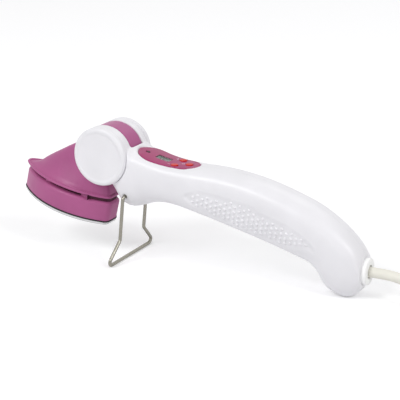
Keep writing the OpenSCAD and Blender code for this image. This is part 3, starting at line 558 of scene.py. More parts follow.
for material, nodes in (
    (STEEL, ("shell_screws", "pivot_screws", "board_screws", "clamp_screws", "sole_screws")),
    (STEEL, ("element_screw", "left_pivot", "right_pivot", "element_clamp", "heat_shield")),
    (BLACK_PLASTIC, ("friction_washers", "switches", "triac", "cord_clamp", "thermistor")),
    (BLACK_RUBBER, ("heater_cable", "mains_leads", "head_cable")),
    (ELEMENT, ("heating_element",)),
    (BOARD, ("control_board",)),
    (SLEEVE, ("capacitor",)),
    (CERAMIC, ("thermal_fuse",)),
    (SHEATH, ("inner_cord",)),
    (PIN, ("plug_pins",)),
    (WINDOW, ("display_window",)),
    (SCREEN, ("display",)),
):
    for node in nodes:
        paint(node, material)


# Handle: one smooth body, cut into its two shells along the middle
top_line = [
    (2, AXIS_HEIGHT + 8),
    (15, AXIS_HEIGHT + 7.6),
    (18.4, AXIS_HEIGHT + 6.8),
    (21.5, AXIS_HEIGHT + 4.6),
    (26.5, AXIS_HEIGHT + 3.2),
    (37.5, AXIS_HEIGHT + 0.3),
    (48.5, AXIS_HEIGHT - 1.3),
    (60, AXIS_HEIGHT - 1.7),
    (84, AXIS_HEIGHT - 1.8),
    (TAIL - 67.5, 64.6),
    (TAIL - 41.5, 56.9),
    (TAIL - 28.5, 51.2),
    (TAIL - 15.5, 42.7),
    (TAIL - 6.5, 34.2),
    (TAIL, 24.8),
]
under_line = [
    (2, AXIS_HEIGHT - 17),
    (5, AXIS_HEIGHT - 21),
    (8, AXIS_HEIGHT - 26),
    (11, AXIS_HEIGHT - 31.4),
    (14.5, AXIS_HEIGHT - 33.6),
    (19, AXIS_HEIGHT - 33.8),
    (26, AXIS_HEIGHT - 31.7),
    (36, AXIS_HEIGHT - 28.4),
    (46, AXIS_HEIGHT - 28.1),
    (60, AXIS_HEIGHT - 30.6),
    (TAIL - 67.5, 27.4),
    (TAIL - 40.5, 19.8),
    (TAIL - 33.5, 16.8),
    (TAIL - 29, 11.5),
    (TAIL - 25.5, 5.4),
    (TAIL - 20.5, 1.8),
    (TAIL - 12, 0),
    (TAIL - 6, 2.8),
    (TAIL, 9.2),
]
side_line = [
    (2, NECK_WIDTH / 2 - 0.6),
    (16, NECK_WIDTH / 2),
    (40, NECK_WIDTH / 2 - 0.6),
    (66, GRIP_WIDTH / 2 + 0.1),
    (TAIL - 66, GRIP_WIDTH / 2),
    (TAIL - 36, GRIP_WIDTH / 2 + 0.1),
    (TAIL - 16, GRIP_WIDTH / 2 - 1.1),
    (TAIL - 6, GRIP_WIDTH / 2 - 2.7),
    (TAIL, GRIP_WIDTH / 2 - 5),
]
crown_line = [(2, 10), (45, 10), (90, 13), (TAIL - 32, 13), (TAIL - 14, 12), (TAIL, 9.2)]
top_power = [(2, 3.6), (48, 3.6), (90, 2.9), (TAIL - 36, 2.5), (TAIL, 2.2)]
UNDER_POWER = 2.5


def slope(rows, x):
    return curve(rows, x + 0.5) - curve(rows, x - 0.5)


def handle_point(x, angle, inset=0.0):
    """Point of the handle's section, from 0 at the top over 180 underneath; +Y comes after that."""
    side = -1 if angle <= 180 else 1
    angle = angle if angle <= 180 else 360 - angle
    top = curve(top_line, x) - inset * math.hypot(1, slope(top_line, x))
    under = max(curve(under_line, x), 0) + inset * math.hypot(1, slope(under_line, x))
    waist = curve(top_line, x) - curve(crown_line, x)
    upper = angle <= 90
    n = curve(top_power, x) if upper else UNDER_POWER
    a = math.radians(angle)
    half = (curve(side_line, x) - inset) * max(math.sin(a), 0) ** (2 / n)
    height = (top if upper else under) - waist
    return Vector((x, side * half, waist + height * abs(math.cos(a)) ** (2 / n)))


# Grip field: distances along the surface below the widest line of the handle
GRIP_DEPTH = 0.7
GRIP_EDGE = 2.2
field_top = [
    (60, 6), (64, 4.2), (68, 2.6), (75, 2.2),
    (90, 2.6), (105, 3.2), (115, 4.2), (127, 4.6),
    (136, 5.4), (142, 7.4), (146, 9.5),
]
field_low = [
    (60, 6.4), (64, 9), (70, 12.6), (77, 15.4),
    (85, 16.8), (97, 18), (110, 18.4), (122, 17.6),
    (133, 14.4), (142, 9.6), (146, 9.6),
]


def grip_depth(x, down):
    """Depth of the shallow hollow round the dots, which fades out at its edge."""
    if not field_top[0][0] < x < field_top[-1][0]:
        return 0
    inside = min(down - curve(field_top, x), curve(field_low, x) - down) + GRIP_EDGE
    return GRIP_DEPTH * ease(min(max(inside / GRIP_EDGE, 0), 1))


def dented(ring, x):
    """Section of the handle with the hollow pressed into both flanks."""
    count = len(ring)
    down = 0
    out = list(ring)
    for i in range(count // 4, count // 2):
        along = ring[i + 1] - ring[i - 1]
        normal = Vector((0, along.z, -along.y)).normalized()
        point = ring[i] - normal * grip_depth(x, down)
        out[i] = point
        out[count - i] = Vector((point.x, -point.y, point.z))
        down += (ring[i + 1] - ring[i]).length
    return out


# The handle stops short of the tail's end, where the cord bush stands proud
BUSH_R = 8.4
BUSH_DEEP = 3
TAIL_STOP = TAIL - 1.7
STOP_ROUND = 1


def stop_inset(x):
    over = min(max(x - TAIL_STOP + STOP_ROUND, 0) / STOP_ROUND, 1)
    return STOP_ROUND * (1 - math.sqrt(1 - over**2))


def handle_loft(name, places, inset=None):
    angles = steps(0, 360, 120)[:-1]
    if inset is None:
        rings = [[handle_point(x, a, stop_inset(x)) for a in angles] for x in places]
        rings = [dented(ring, x) for ring, x in zip(rings, places)]
    else:
        rings = [[handle_point(x, a, inset) for a in angles] for x in places]
    return add_piece(name, *loft_data(rings))


# Control panel outline: two circles joined by straight sides
PANEL_FRONT = (32, 11.3)
PANEL_REAR = (53.4, 9.4)
PANEL_SINK = 0.4
PANEL_THICKNESS = 1
PANEL_STEPS = 72
PANEL_ROUND = 0.25
LAMP_X = 26.3
LAMP_R = 1.45
LAMP_DOME = 0.6
WINDOW_X = (32.9, 42.7)
WINDOW_MIDDLE = (WINDOW_X[0] + WINDOW_X[1]) / 2
WINDOW_REACH = (WINDOW_X[1] - WINDOW_X[0]) / 2
WINDOW_HALF = 3.2
BUTTON_R = 2.5
BUTTON_PLAY = 0.2
BUTTONS = {"up": (48.5, 6), "down": (48.5, -6), "power": (56, 0)}
BOARD_TOP = AXIS_HEIGHT - 11


def panel_half(x, grow):
    """Half width of the panel's outline, made larger all round by an amount."""
    taper = (PANEL_FRONT[1] - PANEL_REAR[1]) / (PANEL_REAR[0] - PANEL_FRONT[0])
    front_r = PANEL_FRONT[1] + grow
    rear_r = PANEL_REAR[1] + grow
    if x < PANEL_FRONT[0] + front_r * taper:
        return math.sqrt(max(front_r**2 - (x - PANEL_FRONT[0]) ** 2, 0.01))
    if x > PANEL_REAR[0] + rear_r * taper:
        return math.sqrt(max(rear_r**2 - (x - PANEL_REAR[0]) ** 2, 0.01))
    return (front_r - (x - PANEL_FRONT[0]) * taper) / math.sqrt(1 - taper**2)


def panel_places(grow):
    low = PANEL_FRONT[0] - PANEL_FRONT[1] - grow
    high = PANEL_REAR[0] + PANEL_REAR[1] + grow
    middle = (low + high) / 2
    reach = (high - low) / 2
    return [middle - reach * math.cos(math.radians(a)) for a in steps(0, 180, PANEL_STEPS)]


def panel_block(name, grow, low, high):
    """Block with the panel's outline, between two depths from the handle's top line."""
    rings = []
    for x in panel_places(grow):
        half = panel_half(x, grow)
        top = curve(top_line, x)
        lower = [(x, -half, top + low), (x, half, top + low)]
        upper = [(x, half, top + high), (x, -half, top + high)]
        rings.append(lower + upper)
    return add_piece(name, *loft_data(rings))


# Case screws: places along the handle and shares of its height
case_screws = [(32, 0.27), (78, 0.5), (118, 0.52), (156, 0.76)]
SCREW_ROOM_R = 2.9
SCREW_SEAT = 6.2
HANDLE_START = 2
HOLLOW_START = 24
HOLLOW_STOP = TAIL - 5
SEAT_PLAY = 0.2
PIVOT_PLAY = 0.3
BUSH_PLAY = 0.15
PANEL_PLAY = 0.3
PANEL_LEDGE = 1.7
PANEL_CLEAR = 12
ROUND_SIDES = 120
PARTING_GAP = 0.06
SIDES = ((-1, "left"), (1, "right"))


def case_height(x, share):
    """Height in the handle, as a share of the way from its under line to its top line."""
    under = max(curve(under_line, x), 0)
    return under + share * (curve(top_line, x) - under)


def make_handle():
    places = steps(HANDLE_START, TAIL_STOP - STOP_ROUND, 148)
    places += [TAIL_STOP - STOP_ROUND * (1 - math.sin(math.radians(a))) for a in steps(15, 90, 5)]
    body = handle_loft("handle_body", places)
    cut(body, handle_loft("hollow", steps(HOLLOW_START, HOLLOW_STOP, 70), WALL))
    axis = place(0, 0, AXIS_HEIGHT) @ ALONG_Y
    pin = place(STAND_X, 0, STAND_Z) @ ALONG_Y
    for side in (-1, 1):
        join(body, side_rod("cheek", side, CHEEK_IN - 1, CHEEK_OUT + 0.5, CAP_R, axis, ROUND_SIDES))
    cut(body, rod("slot", -CHEEK_IN, CHEEK_IN, CAP_R + FORK_GAP, axis, ROUND_SIDES))
    for side in (-1, 1):
        seat_r = CAP_R + SEAT_PLAY
        cut(body, side_rod("cap_seat", side, CHEEK_OUT, FAR_OUT, seat_r, axis, ROUND_SIDES))
        cut(body, side_rod("pocket", side, PLATE_OUT, FAR_OUT, POCKET_R, axis, ROUND_SIDES))
        cut(body, side_rod("stand_hole", side, 10, FAR_OUT, WIRE_R + SEAT_PLAY, pin, 32))
    cut(body, rod("pivot_hole", -FAR_OUT, FAR_OUT, PIVOT_R + PIVOT_PLAY, axis, 64))
    recess_floor = -PANEL_SINK - PANEL_THICKNESS - 0.2
    cut(body, panel_block("recess", PANEL_PLAY, recess_floor, PANEL_CLEAR))
    cut(body, panel_block("opening", -PANEL_LEDGE, -8, PANEL_CLEAR))
    for x, y in BUTTONS.values():
        room_r = BUTTON_R + 1.3
        cut(body, rod("button_room", BOARD_TOP, BOARD_TOP + PANEL_CLEAR, room_r, place(x, y, 0)))
    for x, share in case_screws:
        hole = place(x, 0, case_height(x, share)) @ ALONG_Y
        cut(body, rod("screw_room", SCREW_SEAT, FAR_OUT, SCREW_ROOM_R, hole))
    tail = place(TAIL, 0, CORD_Z) @ ALONG_X
    cut(body, rod("bush_room", -BUSH_DEEP - 0.1, 5, BUSH_R + BUSH_PLAY, tail, 96))
    soften(body, voxel=0.6, rounds=5)
    return body


def cut_half(body, name, side):
    """One shell: the body on one side of the middle, with a hair's gap for the parting line."""
    mesh = body.data.copy()
    work = bmesh.new()
    work.from_mesh(mesh)
    everything = work.verts[:] + work.edges[:] + work.faces[:]
    split = bmesh.ops.bisect_plane(
        work,
        geom=everything,
        plane_co=(0, side * PARTING_GAP, 0),
        plane_no=(0, side, 0),
        clear_inner=True,
    )
    rim = [e for e in split["geom_cut"] if isinstance(e, bmesh.types.BMEdge)]
    bmesh.ops.triangle_fill(work, edges=rim, use_beauty=True)
    work.to_mesh(mesh)
    work.free()
    shell = bpy.data.objects.new(name, mesh)
    scene.collection.objects.link(shell)
    return settle(shell, HANDLE_FRAME, smooth=50)


handle_body = make_handle()
for side, word in SIDES:
    dress(cut_half(handle_body, f"{word}_handle", side), WHITE, "handle", f"{word}_shell")
bpy.data.objects.remove(handle_body)


# Grip: staggered low domes in the hollows of both flanks
DOT_PITCH = 3.7
DOT_COLUMN = 3.15
DOT_R = 1
DOT_RISE = 0.9
DOT_SIDES = 14
DOT_COLUMNS = 27
DOT_FIRST_X = 63.5
DOT_SPAN = (64.5, 141.5)
DOT_LEAN = 0.22
DOT_SLOPE = 0.05
# Rings of one dome: shares of its radius and of its rise
dot_rings = ((1.15, -0.2), (1, 0.1), (0.84, 0.6), (0.55, 0.9), (0.2, 1))


def flank_angle(x, down):
    """Section angle at a distance along the surface below the widest line."""
    angle = 90.0
    here = handle_point(x, angle)
    while down > 0 and angle < 170:
        there = handle_point(x, angle + 0.5)
        down -= (there - here).length
        here = there
        angle += 0.5
    return angle


def grip_places():
    """Places of the domes along the handle, with their section angle and the hollow's depth."""
    places = []
    for column in range(DOT_COLUMNS):
        for row in range(-1, 7):
            down = DOT_PITCH * (row + 0.5 * (column % 2))
            x = DOT_FIRST_X + DOT_COLUMN * column - DOT_LEAN * down
            down += DOT_SLOPE * (x - 75)
            inside = DOT_SPAN[0] < x < DOT_SPAN[1]
            if inside and curve(field_top, x) <= down <= curve(field_low, x):
                places.append((x, flank_angle(x, down), grip_depth(x, down)))
    return places


def make_grip(name, side):
    verts = []
    faces = []
    for x, angle, depth in grip_places():
        centre = handle_point(x, angle)
        along = (handle_point(x + 0.5, angle) - handle_point(x - 0.5, angle)).normalized()
        across = (handle_point(x, angle + 0.5) - handle_point(x, angle - 0.5)).normalized()
        out = along.cross(across).normalized()
        if out.y > 0:
            out = -out
        across = out.cross(along)
        centre = centre - out * depth
        rings = []
        for share, rise in dot_rings:
            ring = []
            for k in range(DOT_SIDES):
                a = 2 * math.pi * k / DOT_SIDES
                flat = along * math.cos(a) + across * math.sin(a)
                ring.append(centre + flat * DOT_R * share + out * DOT_RISE * rise)
            rings.append(ring)
        add_data(verts, faces, *loft_data(rings, close_start=False))
    verts = [Vector((v.x, -side * v.y, v.z)) for v in verts]
    return add_piece(name, verts, faces, HANDLE_FRAME, smooth=60)


for side, word in SIDES:
    dress(make_grip(f"{word}_grip_dots", side), WHITE, "handle", slot="white_plastic")


# Caps over the pivots: a softly dished face inside a rounded rim
CAP_SPIGOT = 1.8
CAP_ROUND = 2.2
CAP_DISH = 0.34


def make_cap(name, side):
    face = CAP_THICKNESS
    spigot_r = POCKET_R - 0.15
    profile = [
        (spigot_r - 1.25, 0.9),
        (spigot_r - 1.25, -CAP_SPIGOT),
        (spigot_r, -CAP_SPIGOT),
        (spigot_r, 0),
        (CAP_R - 0.25, 0),
        (CAP_R, 0.25),
    ]
    profile += arc(CAP_R - CAP_ROUND, face - CAP_ROUND, CAP_ROUND, 0, 90, 12)
    profile += [(CAP_R - 2.9, face - 0.04), (CAP_R - 3.3, face - 0.2), (CAP_R - 3.7, face - 0.32)]
    profile += [(r, face - CAP_DISH) for r in (CAP_R - 4.2, 11, 8, 5, 2.5, 1, 0)]
    outward = Matrix.Rotation(math.radians(-90 * side), 4, "X")
    turn = place(0, side * CHEEK_OUT, AXIS_HEIGHT) @ outward
    return add_piece(name, *lathe_data(profile, 128, turn, closed=False), HANDLE_FRAME, smooth=40)


for side, word in SIDES:
    dress(make_cap(f"{word}_cap_piece", side), WHITE, "handle", f"{word}_cap")


# Control panel with its window, lamp, buttons and marks
def panel_top(x):
    return curve(top_line, x) - PANEL_SINK


def make_panel():
    rings = []
    for x in panel_places(0):
        half = panel_half(x, 0)
        edge = min(PANEL_ROUND, half / 3)
        top = panel_top(x)
        low = top - PANEL_THICKNESS
        right = [
            (x, half, low),
            (x, half, top - PANEL_ROUND),
            (x, half - edge * 0.3, top - 0.08),
            (x, half - edge, top),
        ]
        left = [(x, -y, z) for x, y, z in reversed(right)]
        rings.append(left[-1:] + right + left[:-1])
    panel = add_piece("panel_piece", *loft_data(rings))
    above = BOARD_TOP + FAR_OUT
    for x, y in BUTTONS.values():
        cut(panel, rod("hole", BOARD_TOP, above, BUTTON_R + BUTTON_PLAY, place(x, y, 0), 48))
    cut(panel, rod("hole", BOARD_TOP, above, LAMP_R + 0.15, place(LAMP_X, 0, 0), 40))
    outline = rounded_box(WINDOW_REACH, WINDOW_HALF, 0.5)
    rings = [[(WINDOW_MIDDLE + p[0], p[1], z) for p in outline] for z in (BOARD_TOP, above)]
    cut(panel, add_piece("hole", *loft_data(rings)))
    return settle(panel, HANDLE_FRAME, smooth=30)


def rounded_box(half_x, half_y, r):
    corners = []
    for sx, sy, start in ((1, 1, 0), (-1, 1, 90), (-1, -1, 180), (1, -1, 270)):
        corners += arc(sx * (half_x - r), sy * (half_y - r), r, start, start + 90, 6)
    return corners


dress(make_panel(), PINK, "handle", "panel")


def make_button(name, x, y):
    crown = panel_top(x) + 0.5
    seat = panel_top(x + 3.5) - PANEL_THICKNESS - 0.35
    edge = 0.45
    stem_r = 1.6
    profile = [
        (0, BOARD_TOP + 2.4),
        (stem_r, BOARD_TOP + 2.4),
        (stem_r, seat - 1),
        (BUTTON_R + 0.7, seat - 1),
        (BUTTON_R + 0.7, seat),
        (BUTTON_R, seat),
        (BUTTON_R, crown - edge),
    ]
    profile += arc(BUTTON_R - edge, crown - edge, edge, 15, 75, 5)
    profile += [(1.6, crown + 0.06), (1, crown - 0.02), (0.5, crown - 0.06), (0, crown - 0.07)]
    return add_piece(name, *lathe_data(profile, 48, place(x, y, 0)), HANDLE_FRAME, smooth=40)


for key, (x, y) in BUTTONS.items():
    dress(make_button(f"{key}_button_piece", x, y), RED, f"{key}_key", f"{key}_button")


def make_lamp():
    rim = panel_top(LAMP_X) - 0.4
    profile = [(0, BOARD_TOP + 5), (LAMP_R, BOARD_TOP + 5), (LAMP_R, rim)]
    for angle in steps(0, 90, 8):
        a = math.radians(angle)
        profile.append((LAMP_R * math.cos(a), rim + LAMP_DOME * math.sin(a)))
    return add_piece("lamp_piece", *lathe_data(profile, 36, place(LAMP_X, 0, 0)), HANDLE_FRAME, smooth=40)


dress(make_lamp(), LAMP, "handle", "indicator_lamp")


MARK_LEVELS = (-0.02, 0.03)
MARK_HALF = 0.9
MARK_WIDTH = 0.36
PLUS_PLACE = (44.6, 6.1)
MINUS_PLACE = (44.6, -6.1)
POWER_PLACE = (51.6, 0)


def strip(x0, y0, x1, y1, width):
    """Flat bar between two points of a plan."""
    d = math.hypot(x1 - x0, y1 - y0)
    nx, ny = (y0 - y1) / d * width / 2, (x1 - x0) / d * width / 2
    return [(x0 + nx, y0 + ny), (x0 - nx, y0 - ny), (x1 - nx, y1 - ny), (x1 + nx, y1 + ny)]


def flat_marks(name, outlines, height):
    """Thin raised shapes on the panel; height gives the surface at a place along the handle."""
    verts = []
    faces = []
    for outline in outlines:
        rings = [[(x, y, height(x) + rise) for x, y in outline] for rise in MARK_LEVELS]
        add_data(verts, faces, *loft_data(rings))
    return add_piece(name, verts, faces, HANDLE_FRAME, smooth=30)


def panel_marks():
    """A plus, a minus and an on-off mark."""
    x, y = PLUS_PLACE
    half_width = MARK_WIDTH / 2
    outlines = [strip(x - MARK_HALF, y, x + MARK_HALF, y, MARK_WIDTH)]
    for way in (1, -1):
        outlines.append(strip(x, y + way * half_width, x, y + way * MARK_HALF, MARK_WIDTH))
    x, y = MINUS_PLACE
    outlines.append(strip(x - MARK_HALF, y, x + MARK_HALF, y, MARK_WIDTH))
    x, y = POWER_PLACE
    outlines.append(strip(x - 0.1, y, x - 1.1, y, 0.34))
    ring = arc(x, y, 0.85, -140, 140, 16)
    outlines += [strip(*a, *b, 0.3) for a, b in zip(ring, ring[1:])]
    return flat_marks("panel_marks", outlines, panel_top)


dress(panel_marks(), MARK, "handle", slot="white_plastic")

# Screen: three plain digits under the window
DIGITS = "180"
DIGIT_PITCH = 2.6
DIGIT_HALF_WIDTH = 0.75
DIGIT_HALF_HEIGHT = 1.5
BAR_WIDTH = 0.42
BAR_GAP = 0.22
SEGMENTS = {"1": "bc", "8": "abcdefg", "0": "abcdef"}


def digit_bars(digit, x):
    left = x - DIGIT_HALF_WIDTH
    right = x + DIGIT_HALF_WIDTH
    high = DIGIT_HALF_HEIGHT
    ends = {
        "a": ((left, high), (right, high)),
        "b": ((right, high), (right, 0)),
        "c": ((right, 0), (right, -high)),
        "d": ((left, -high), (right, -high)),
        "e": ((left, 0), (left, -high)),
        "f": ((left, high), (left, 0)),
        "g": ((left, 0), (right, 0)),
    }
    bars = []
    for key in SEGMENTS[digit]:
        a, b = (Vector(p) for p in ends[key])
        gap = (b - a).normalized() * BAR_GAP
        bars.append(strip(*(a + gap), *(b - gap), BAR_WIDTH))
    return bars


def screen_height(x):
    """Level of the sloping screen at a place along the handle."""
    low, high = WINDOW_X[0] - 1, WINDOW_X[1] + 1
    ends = [panel_top(e) - PANEL_THICKNESS - 0.4 for e in (low, high)]
    return ends[0] + (ends[1] - ends[0]) * (x - low) / (high - low)


digits = []
for index, digit in enumerate(DIGITS):
    digits += digit_bars(digit, WINDOW_MIDDLE + DIGIT_PITCH * (index - 1))
dress(flat_marks("screen_digits", digits, screen_height), SEGMENT, "handle", slot="display_grey")


# Cord bush, and the cord with its tie and plug
def make_bush():
    bore, sleeve, back = 3.6, 5.6, -6.5
    profile = [(bore, back), (sleeve, back), (sleeve, -BUSH_DEEP), (BUSH_R, -BUSH_DEEP), (BUSH_R, 0)]
    profile += arc(BUSH_R - 0.8, 0.2, 0.8, 15, 90, 5)
    profile += [(6, 1.1), (4.5, 1.15), (4.2, 0.9), (4.1, 0.4), (4.1, -2.5), (bore, -2.6), (bore, back)]
    turn = place(TAIL, 0, CORD_Z) @ ALONG_X
    return add_piece("bush_piece", *lathe_data(profile, 72, turn, closed=False), HANDLE_FRAME, smooth=40)


# The bush wears the paler white, painted light on its face
dress(make_bush(), LIT_BUSH_WHITE, "handle", "cord_bush")

PLUG_LENGTH = 34
PLUG_WIDTH = 35
RELIEF_LENGTH = 20
RIBS = 6
RIB_PITCH = 3.2
TIE_WIDTH = 8
TIE_PLAY = 0.4
PLUG_START = LEAD_END + RELIEF_LENGTH


def make_relief():
    profile = [(0, 0), (CORD_R + 0.2, 0)]
    for i in range(RIBS):
        low = 0.4 + RIB_PITCH * i
        r = CORD_R + 0.4 + 2 * low / RELIEF_LENGTH
        profile += [(r, low), (r + 0.1, low + 1.9), (r - 0.5, low + 2.1), (r - 0.5, low + 2.9)]
    end_r = CORD_R + 2.4
    profile += [(end_r, RELIEF_LENGTH - 0.4), (end_r, RELIEF_LENGTH), (0, RELIEF_LENGTH)]
    turn = place(LEAD_END, -COIL_RADIUS, PLUG_Z) @ ALONG_X
    return add_piece("relief_piece", *lathe_data(profile, 40, turn), HANDLE_FRAME)


def make_plug():
    half = PLUG_WIDTH / 2
    side = [(0, -6), (12, 4 - half), (16, -half), (PLUG_LENGTH - 2, -half), (PLUG_LENGTH, 2 - half)]
    outline = side + [(x, -y) for x, y in reversed(side)]
    levels = (PLUG_Z - PLUG_THICK / 2, PLUG_Z + PLUG_THICK / 2)
    rings = [[(PLUG_START + x, y - COIL_RADIUS, z) for x, y in outline] for z in levels]
    plug = add_piece("plug_piece", *loft_data(rings))
    bevel = plug.modifiers.new("bevel", "BEVEL")
    bevel.width = 1.6
    bevel.segments = 4
    bevel.limit_method = "ANGLE"
    apply(plug, bevel)
    return settle(plug, HANDLE_FRAME, smooth=40)


def make_tie():
    """A strap right round one run of the hank, with rounded corners."""
    inner = COIL_RADIUS - CORD_R - TIE_PLAY
    outer = FOLD_OUTER + CORD_R + TIE_PLAY
    high = COIL_TOP + 0.3 + STRAP
    middle_y = (inner + outer) / 2
    reach = (outer - inner) / 2 + STRAP
    middle_z = high / 2
    loop = rounded_box(reach, middle_z, 2)
    core = rounded_box(reach - STRAP, middle_z - STRAP, 1.4)
    n = len(loop)
    verts = []
    for x in (-TIE_WIDTH / 2, TIE_WIDTH / 2):
        for ring in (loop, core):
            verts += [(HANK_X + HANK_RUN / 2 + x, middle_y + y, middle_z + z) for y, z in ring]
    faces = []
    for k in range(n):
        j = (k + 1) % n
        faces.append((k, j, 2 * n + j, 2 * n + k))
        faces.append((n + j, n + k, 3 * n + k, 3 * n + j))
        faces.append((j, k, n + k, n + j))
        faces.append((2 * n + k, 2 * n + j, 3 * n + j, 3 * n + k))
    return add_piece("tie_piece", verts, faces, HANDLE_FRAME)


dress(mains_cord, SHEATH, "handle", "cord", "cord_coil", "plug_lead")
relief = dress(make_relief(), SHEATH, "handle", "plug_relief")
plug = dress(make_plug(), SHEATH, "handle", "plug_body")
tie = dress(make_tie(), BLACK_RUBBER, "handle", "cord_tie")


# Head: leaf-shaped sole and housing under a hood that runs up into the drum
SOLE_LENGTH = 68.8
HALF_SOLE = 17.3
SOLE_WIDEST = 37
NOSE_REACH = 59.6
NOSE_R = 4
CORNER_R = 5
SOLE_FACE = -48.9
SOLE_TOP = SOLE_FACE + 2.1
HOUSING_LOW = SOLE_TOP + 0.7
HOUSING_TOP = HOUSING_LOW + 13.4
HOUSING_ROUND = 2.2
POST_X = (-8, -36)
POST_Y = 11.6
LIP_LOW = HOUSING_TOP + 2.8
LIP_R = 0.95
SIDE_R = ((SOLE_WIDEST - NOSE_R) ** 2 / (HALF_SOLE - NOSE_R) + NOSE_R + HALF_SOLE) / 2
SIDE_BACK = SIDE_R - HALF_SOLE
WIDEST_X = SOLE_WIDEST - NOSE_REACH
SOLE_REAR = SOLE_LENGTH - NOSE_REACH


def leaf(inset):
    """Outline of the sole drawn in by an inset, anticlockwise from its rear right corner."""
    side_r = SIDE_R - inset
    nose_r = max(NOSE_R - inset, 0.4)
    corner_r = max(CORNER_R - inset, 0.6)
    nose_x = WIDEST_X - math.sqrt((side_r - nose_r) ** 2 - SIDE_BACK**2)
    corner_x = SOLE_REAR - inset - corner_r
    corner_y = math.sqrt((side_r - corner_r) ** 2 - (corner_x - WIDEST_X) ** 2) - SIDE_BACK
    corner_a = math.degrees(math.atan2(corner_y + SIDE_BACK, corner_x - WIDEST_X))
    nose_a = math.degrees(math.atan2(SIDE_BACK, nose_x - WIDEST_X))
    half = arc(corner_x, corner_y, corner_r, 0, corner_a, 10)
    half += arc(WIDEST_X, -SIDE_BACK, side_r, corner_a, nose_a, 40)[1:]
    half += arc(nose_x, 0, nose_r, nose_a, 180, 10)[1:]
    return half + [(x, -y) for x, y in reversed(half[:-1])]


def leaf_stack(name, levels):
    rings = [[(x, y, z) for x, y in leaf(inset)] for inset, z in levels]
    return add_piece(name, *loft_data(rings), HEAD_FRAME, smooth=40)


def make_housing():
    r = HOUSING_ROUND
    levels = [(0.3, HOUSING_LOW), (0, HOUSING_LOW + 0.3), (0, HOUSING_TOP - r)]
    levels += [(r - x, z) for x, z in arc(0, HOUSING_TOP - r, r, 10, 90, 8)]
    return leaf_stack("housing_piece", levels)


def make_pads():
    """Four small posts that carry the hood over the air gap."""
    verts = []
    faces = []
    outline = rounded_box(2.5, 1, 0.5)
    levels = (HOUSING_TOP - 0.5, LIP_LOW + 0.3)
    for x in POST_X:
        for y in (-POST_Y, POST_Y):
            rings = [[(x + p[0], y + p[1], z) for p in outline] for z in levels]
            add_data(verts, faces, *loft_data(rings, close_start=False, close_end=False))
    return add_piece("housing_posts", verts, faces, HEAD_FRAME, smooth=40)


dress(make_housing(), PURPLE, "head", "sole_housing")
dress(make_pads(), PURPLE, "head", slot="purple_plastic")


def make_skirt():
    """Inner wall of the hood that closes the air gap, nearer to the edge at the rear."""
    verts = []
    faces = []
    levels = (HOUSING_TOP - 0.2, LIP_LOW + 0.6)
    for inset, front in ((4.2, -NOSE_REACH), (2.2, -4)):
        outline = [(max(x, front), y) for x, y in leaf(inset)]
        rings = [[(x, y, z) for x, y in outline] for z in levels]
        add_data(verts, faces, *loft_data(rings))
    return add_piece("hood_skirt", verts, faces, HEAD_FRAME, smooth=40)


# Rows of an inset from the sole's outline and a level
gasket_levels = [
    (0.2, SOLE_TOP - 0.15),
    (-0.3, SOLE_TOP),
    (-0.35, (SOLE_TOP + HOUSING_LOW) / 2),
    (-0.3, HOUSING_LOW),
    (0.2, HOUSING_LOW + 0.2),
]
sole_levels = [
    (0.9, SOLE_FACE),
    (0.45, SOLE_FACE + 0.12),
    (0.15, SOLE_FACE + 0.4),
    (-0.1, SOLE_FACE + 0.9),
    (-0.1, SOLE_TOP),
]
# The inner wall wears the dark purple, painted shade of the air gap
dress(make_skirt(), PAINTED_GAP_SHADE, "head", slot="purple_plastic")
dress(leaf_stack("gasket_piece", gasket_levels), BLACK_RUBBER, "head", "sole_gasket")
dress(leaf_stack("sole_piece", sole_levels), SOLE, "head", "soleplate")

# Hood rings from the lip upwards: level, front, rear, half width and squareness
hood_rings = [
    (LIP_LOW, -60.3, 7.2, 16.5, 0),
    (LIP_LOW + 0.6, -60.3, 7.2, 16.5, 0),
    (LIP_LOW + 1.1, -58, 6.7, 15.6, 0.01),
    (LIP_LOW + 1.7, -55.8, 6.4, 15, 0.02),
    (LIP_LOW + 2.5, -54, 6.2, 14.6, 0.05),
    (-26.2, -52, 5.7, 13.8, 0.12),
    (-23.4, -49.1, 4.2, 12.4, 0.25),
    (-20, -45.8, 2, 10.8, 0.4),
    (-15.6, -41, 0, 9, 0.55),
    (-10.4, -35, 0, 7.6, 0.75),
    (-6, -30, 0, 6.6, 0.9),
    (-1, -23.6, 0, 6.3, 1),
    (3, -18, 0, 6.2, 1),
]
hood_core = [
    (LIP_LOW - 4, -53, 3.6, 12.4, 0),
    (LIP_LOW + 1.6, -52.4, 3.6, 12.4, 0),
    (-24, -46.4, -6, 9.8, 0.2),
    (-20, -41.8, -12, 8, 0.4),
    (-15, -36.4, -18, 6, 0.6),
    (-11, -31.5, -20, 4.6, 0.8),
]


def signed_root(value):
    return math.copysign(math.sqrt(abs(value)), value)


LEAF_SHAPE = [((x + NOSE_REACH) / SOLE_LENGTH, y / HALF_SOLE) for x, y in leaf(0)]


def hood_loft(name, rows, between):
    """Skin over rings that pass from the sole's leaf shape to a squarish one."""
    columns = [[(row[0], row[k]) for row in rows] for k in range(5)]
    levels = [rows[0][0]]
    for a, b in zip(rows, rows[1:]):
        levels += steps(a[0], b[0], between)[1:]
    rings = []
    for z in levels:
        front, rear, half, square = (curve(columns[k], z) for k in (1, 2, 3, 4))
        ring = []
        for px, py in LEAF_SHAPE:
            a = math.atan2(py, 2 * px - 1)
            sx = px + ((1 + signed_root(math.cos(a))) / 2 - px) * square
            sy = py + (signed_root(math.sin(a)) - py) * square
            ring.append((front + (rear - front) * sx, half * sy, z))
        rings.append(ring)
    return add_piece(name, *loft_data(rings))


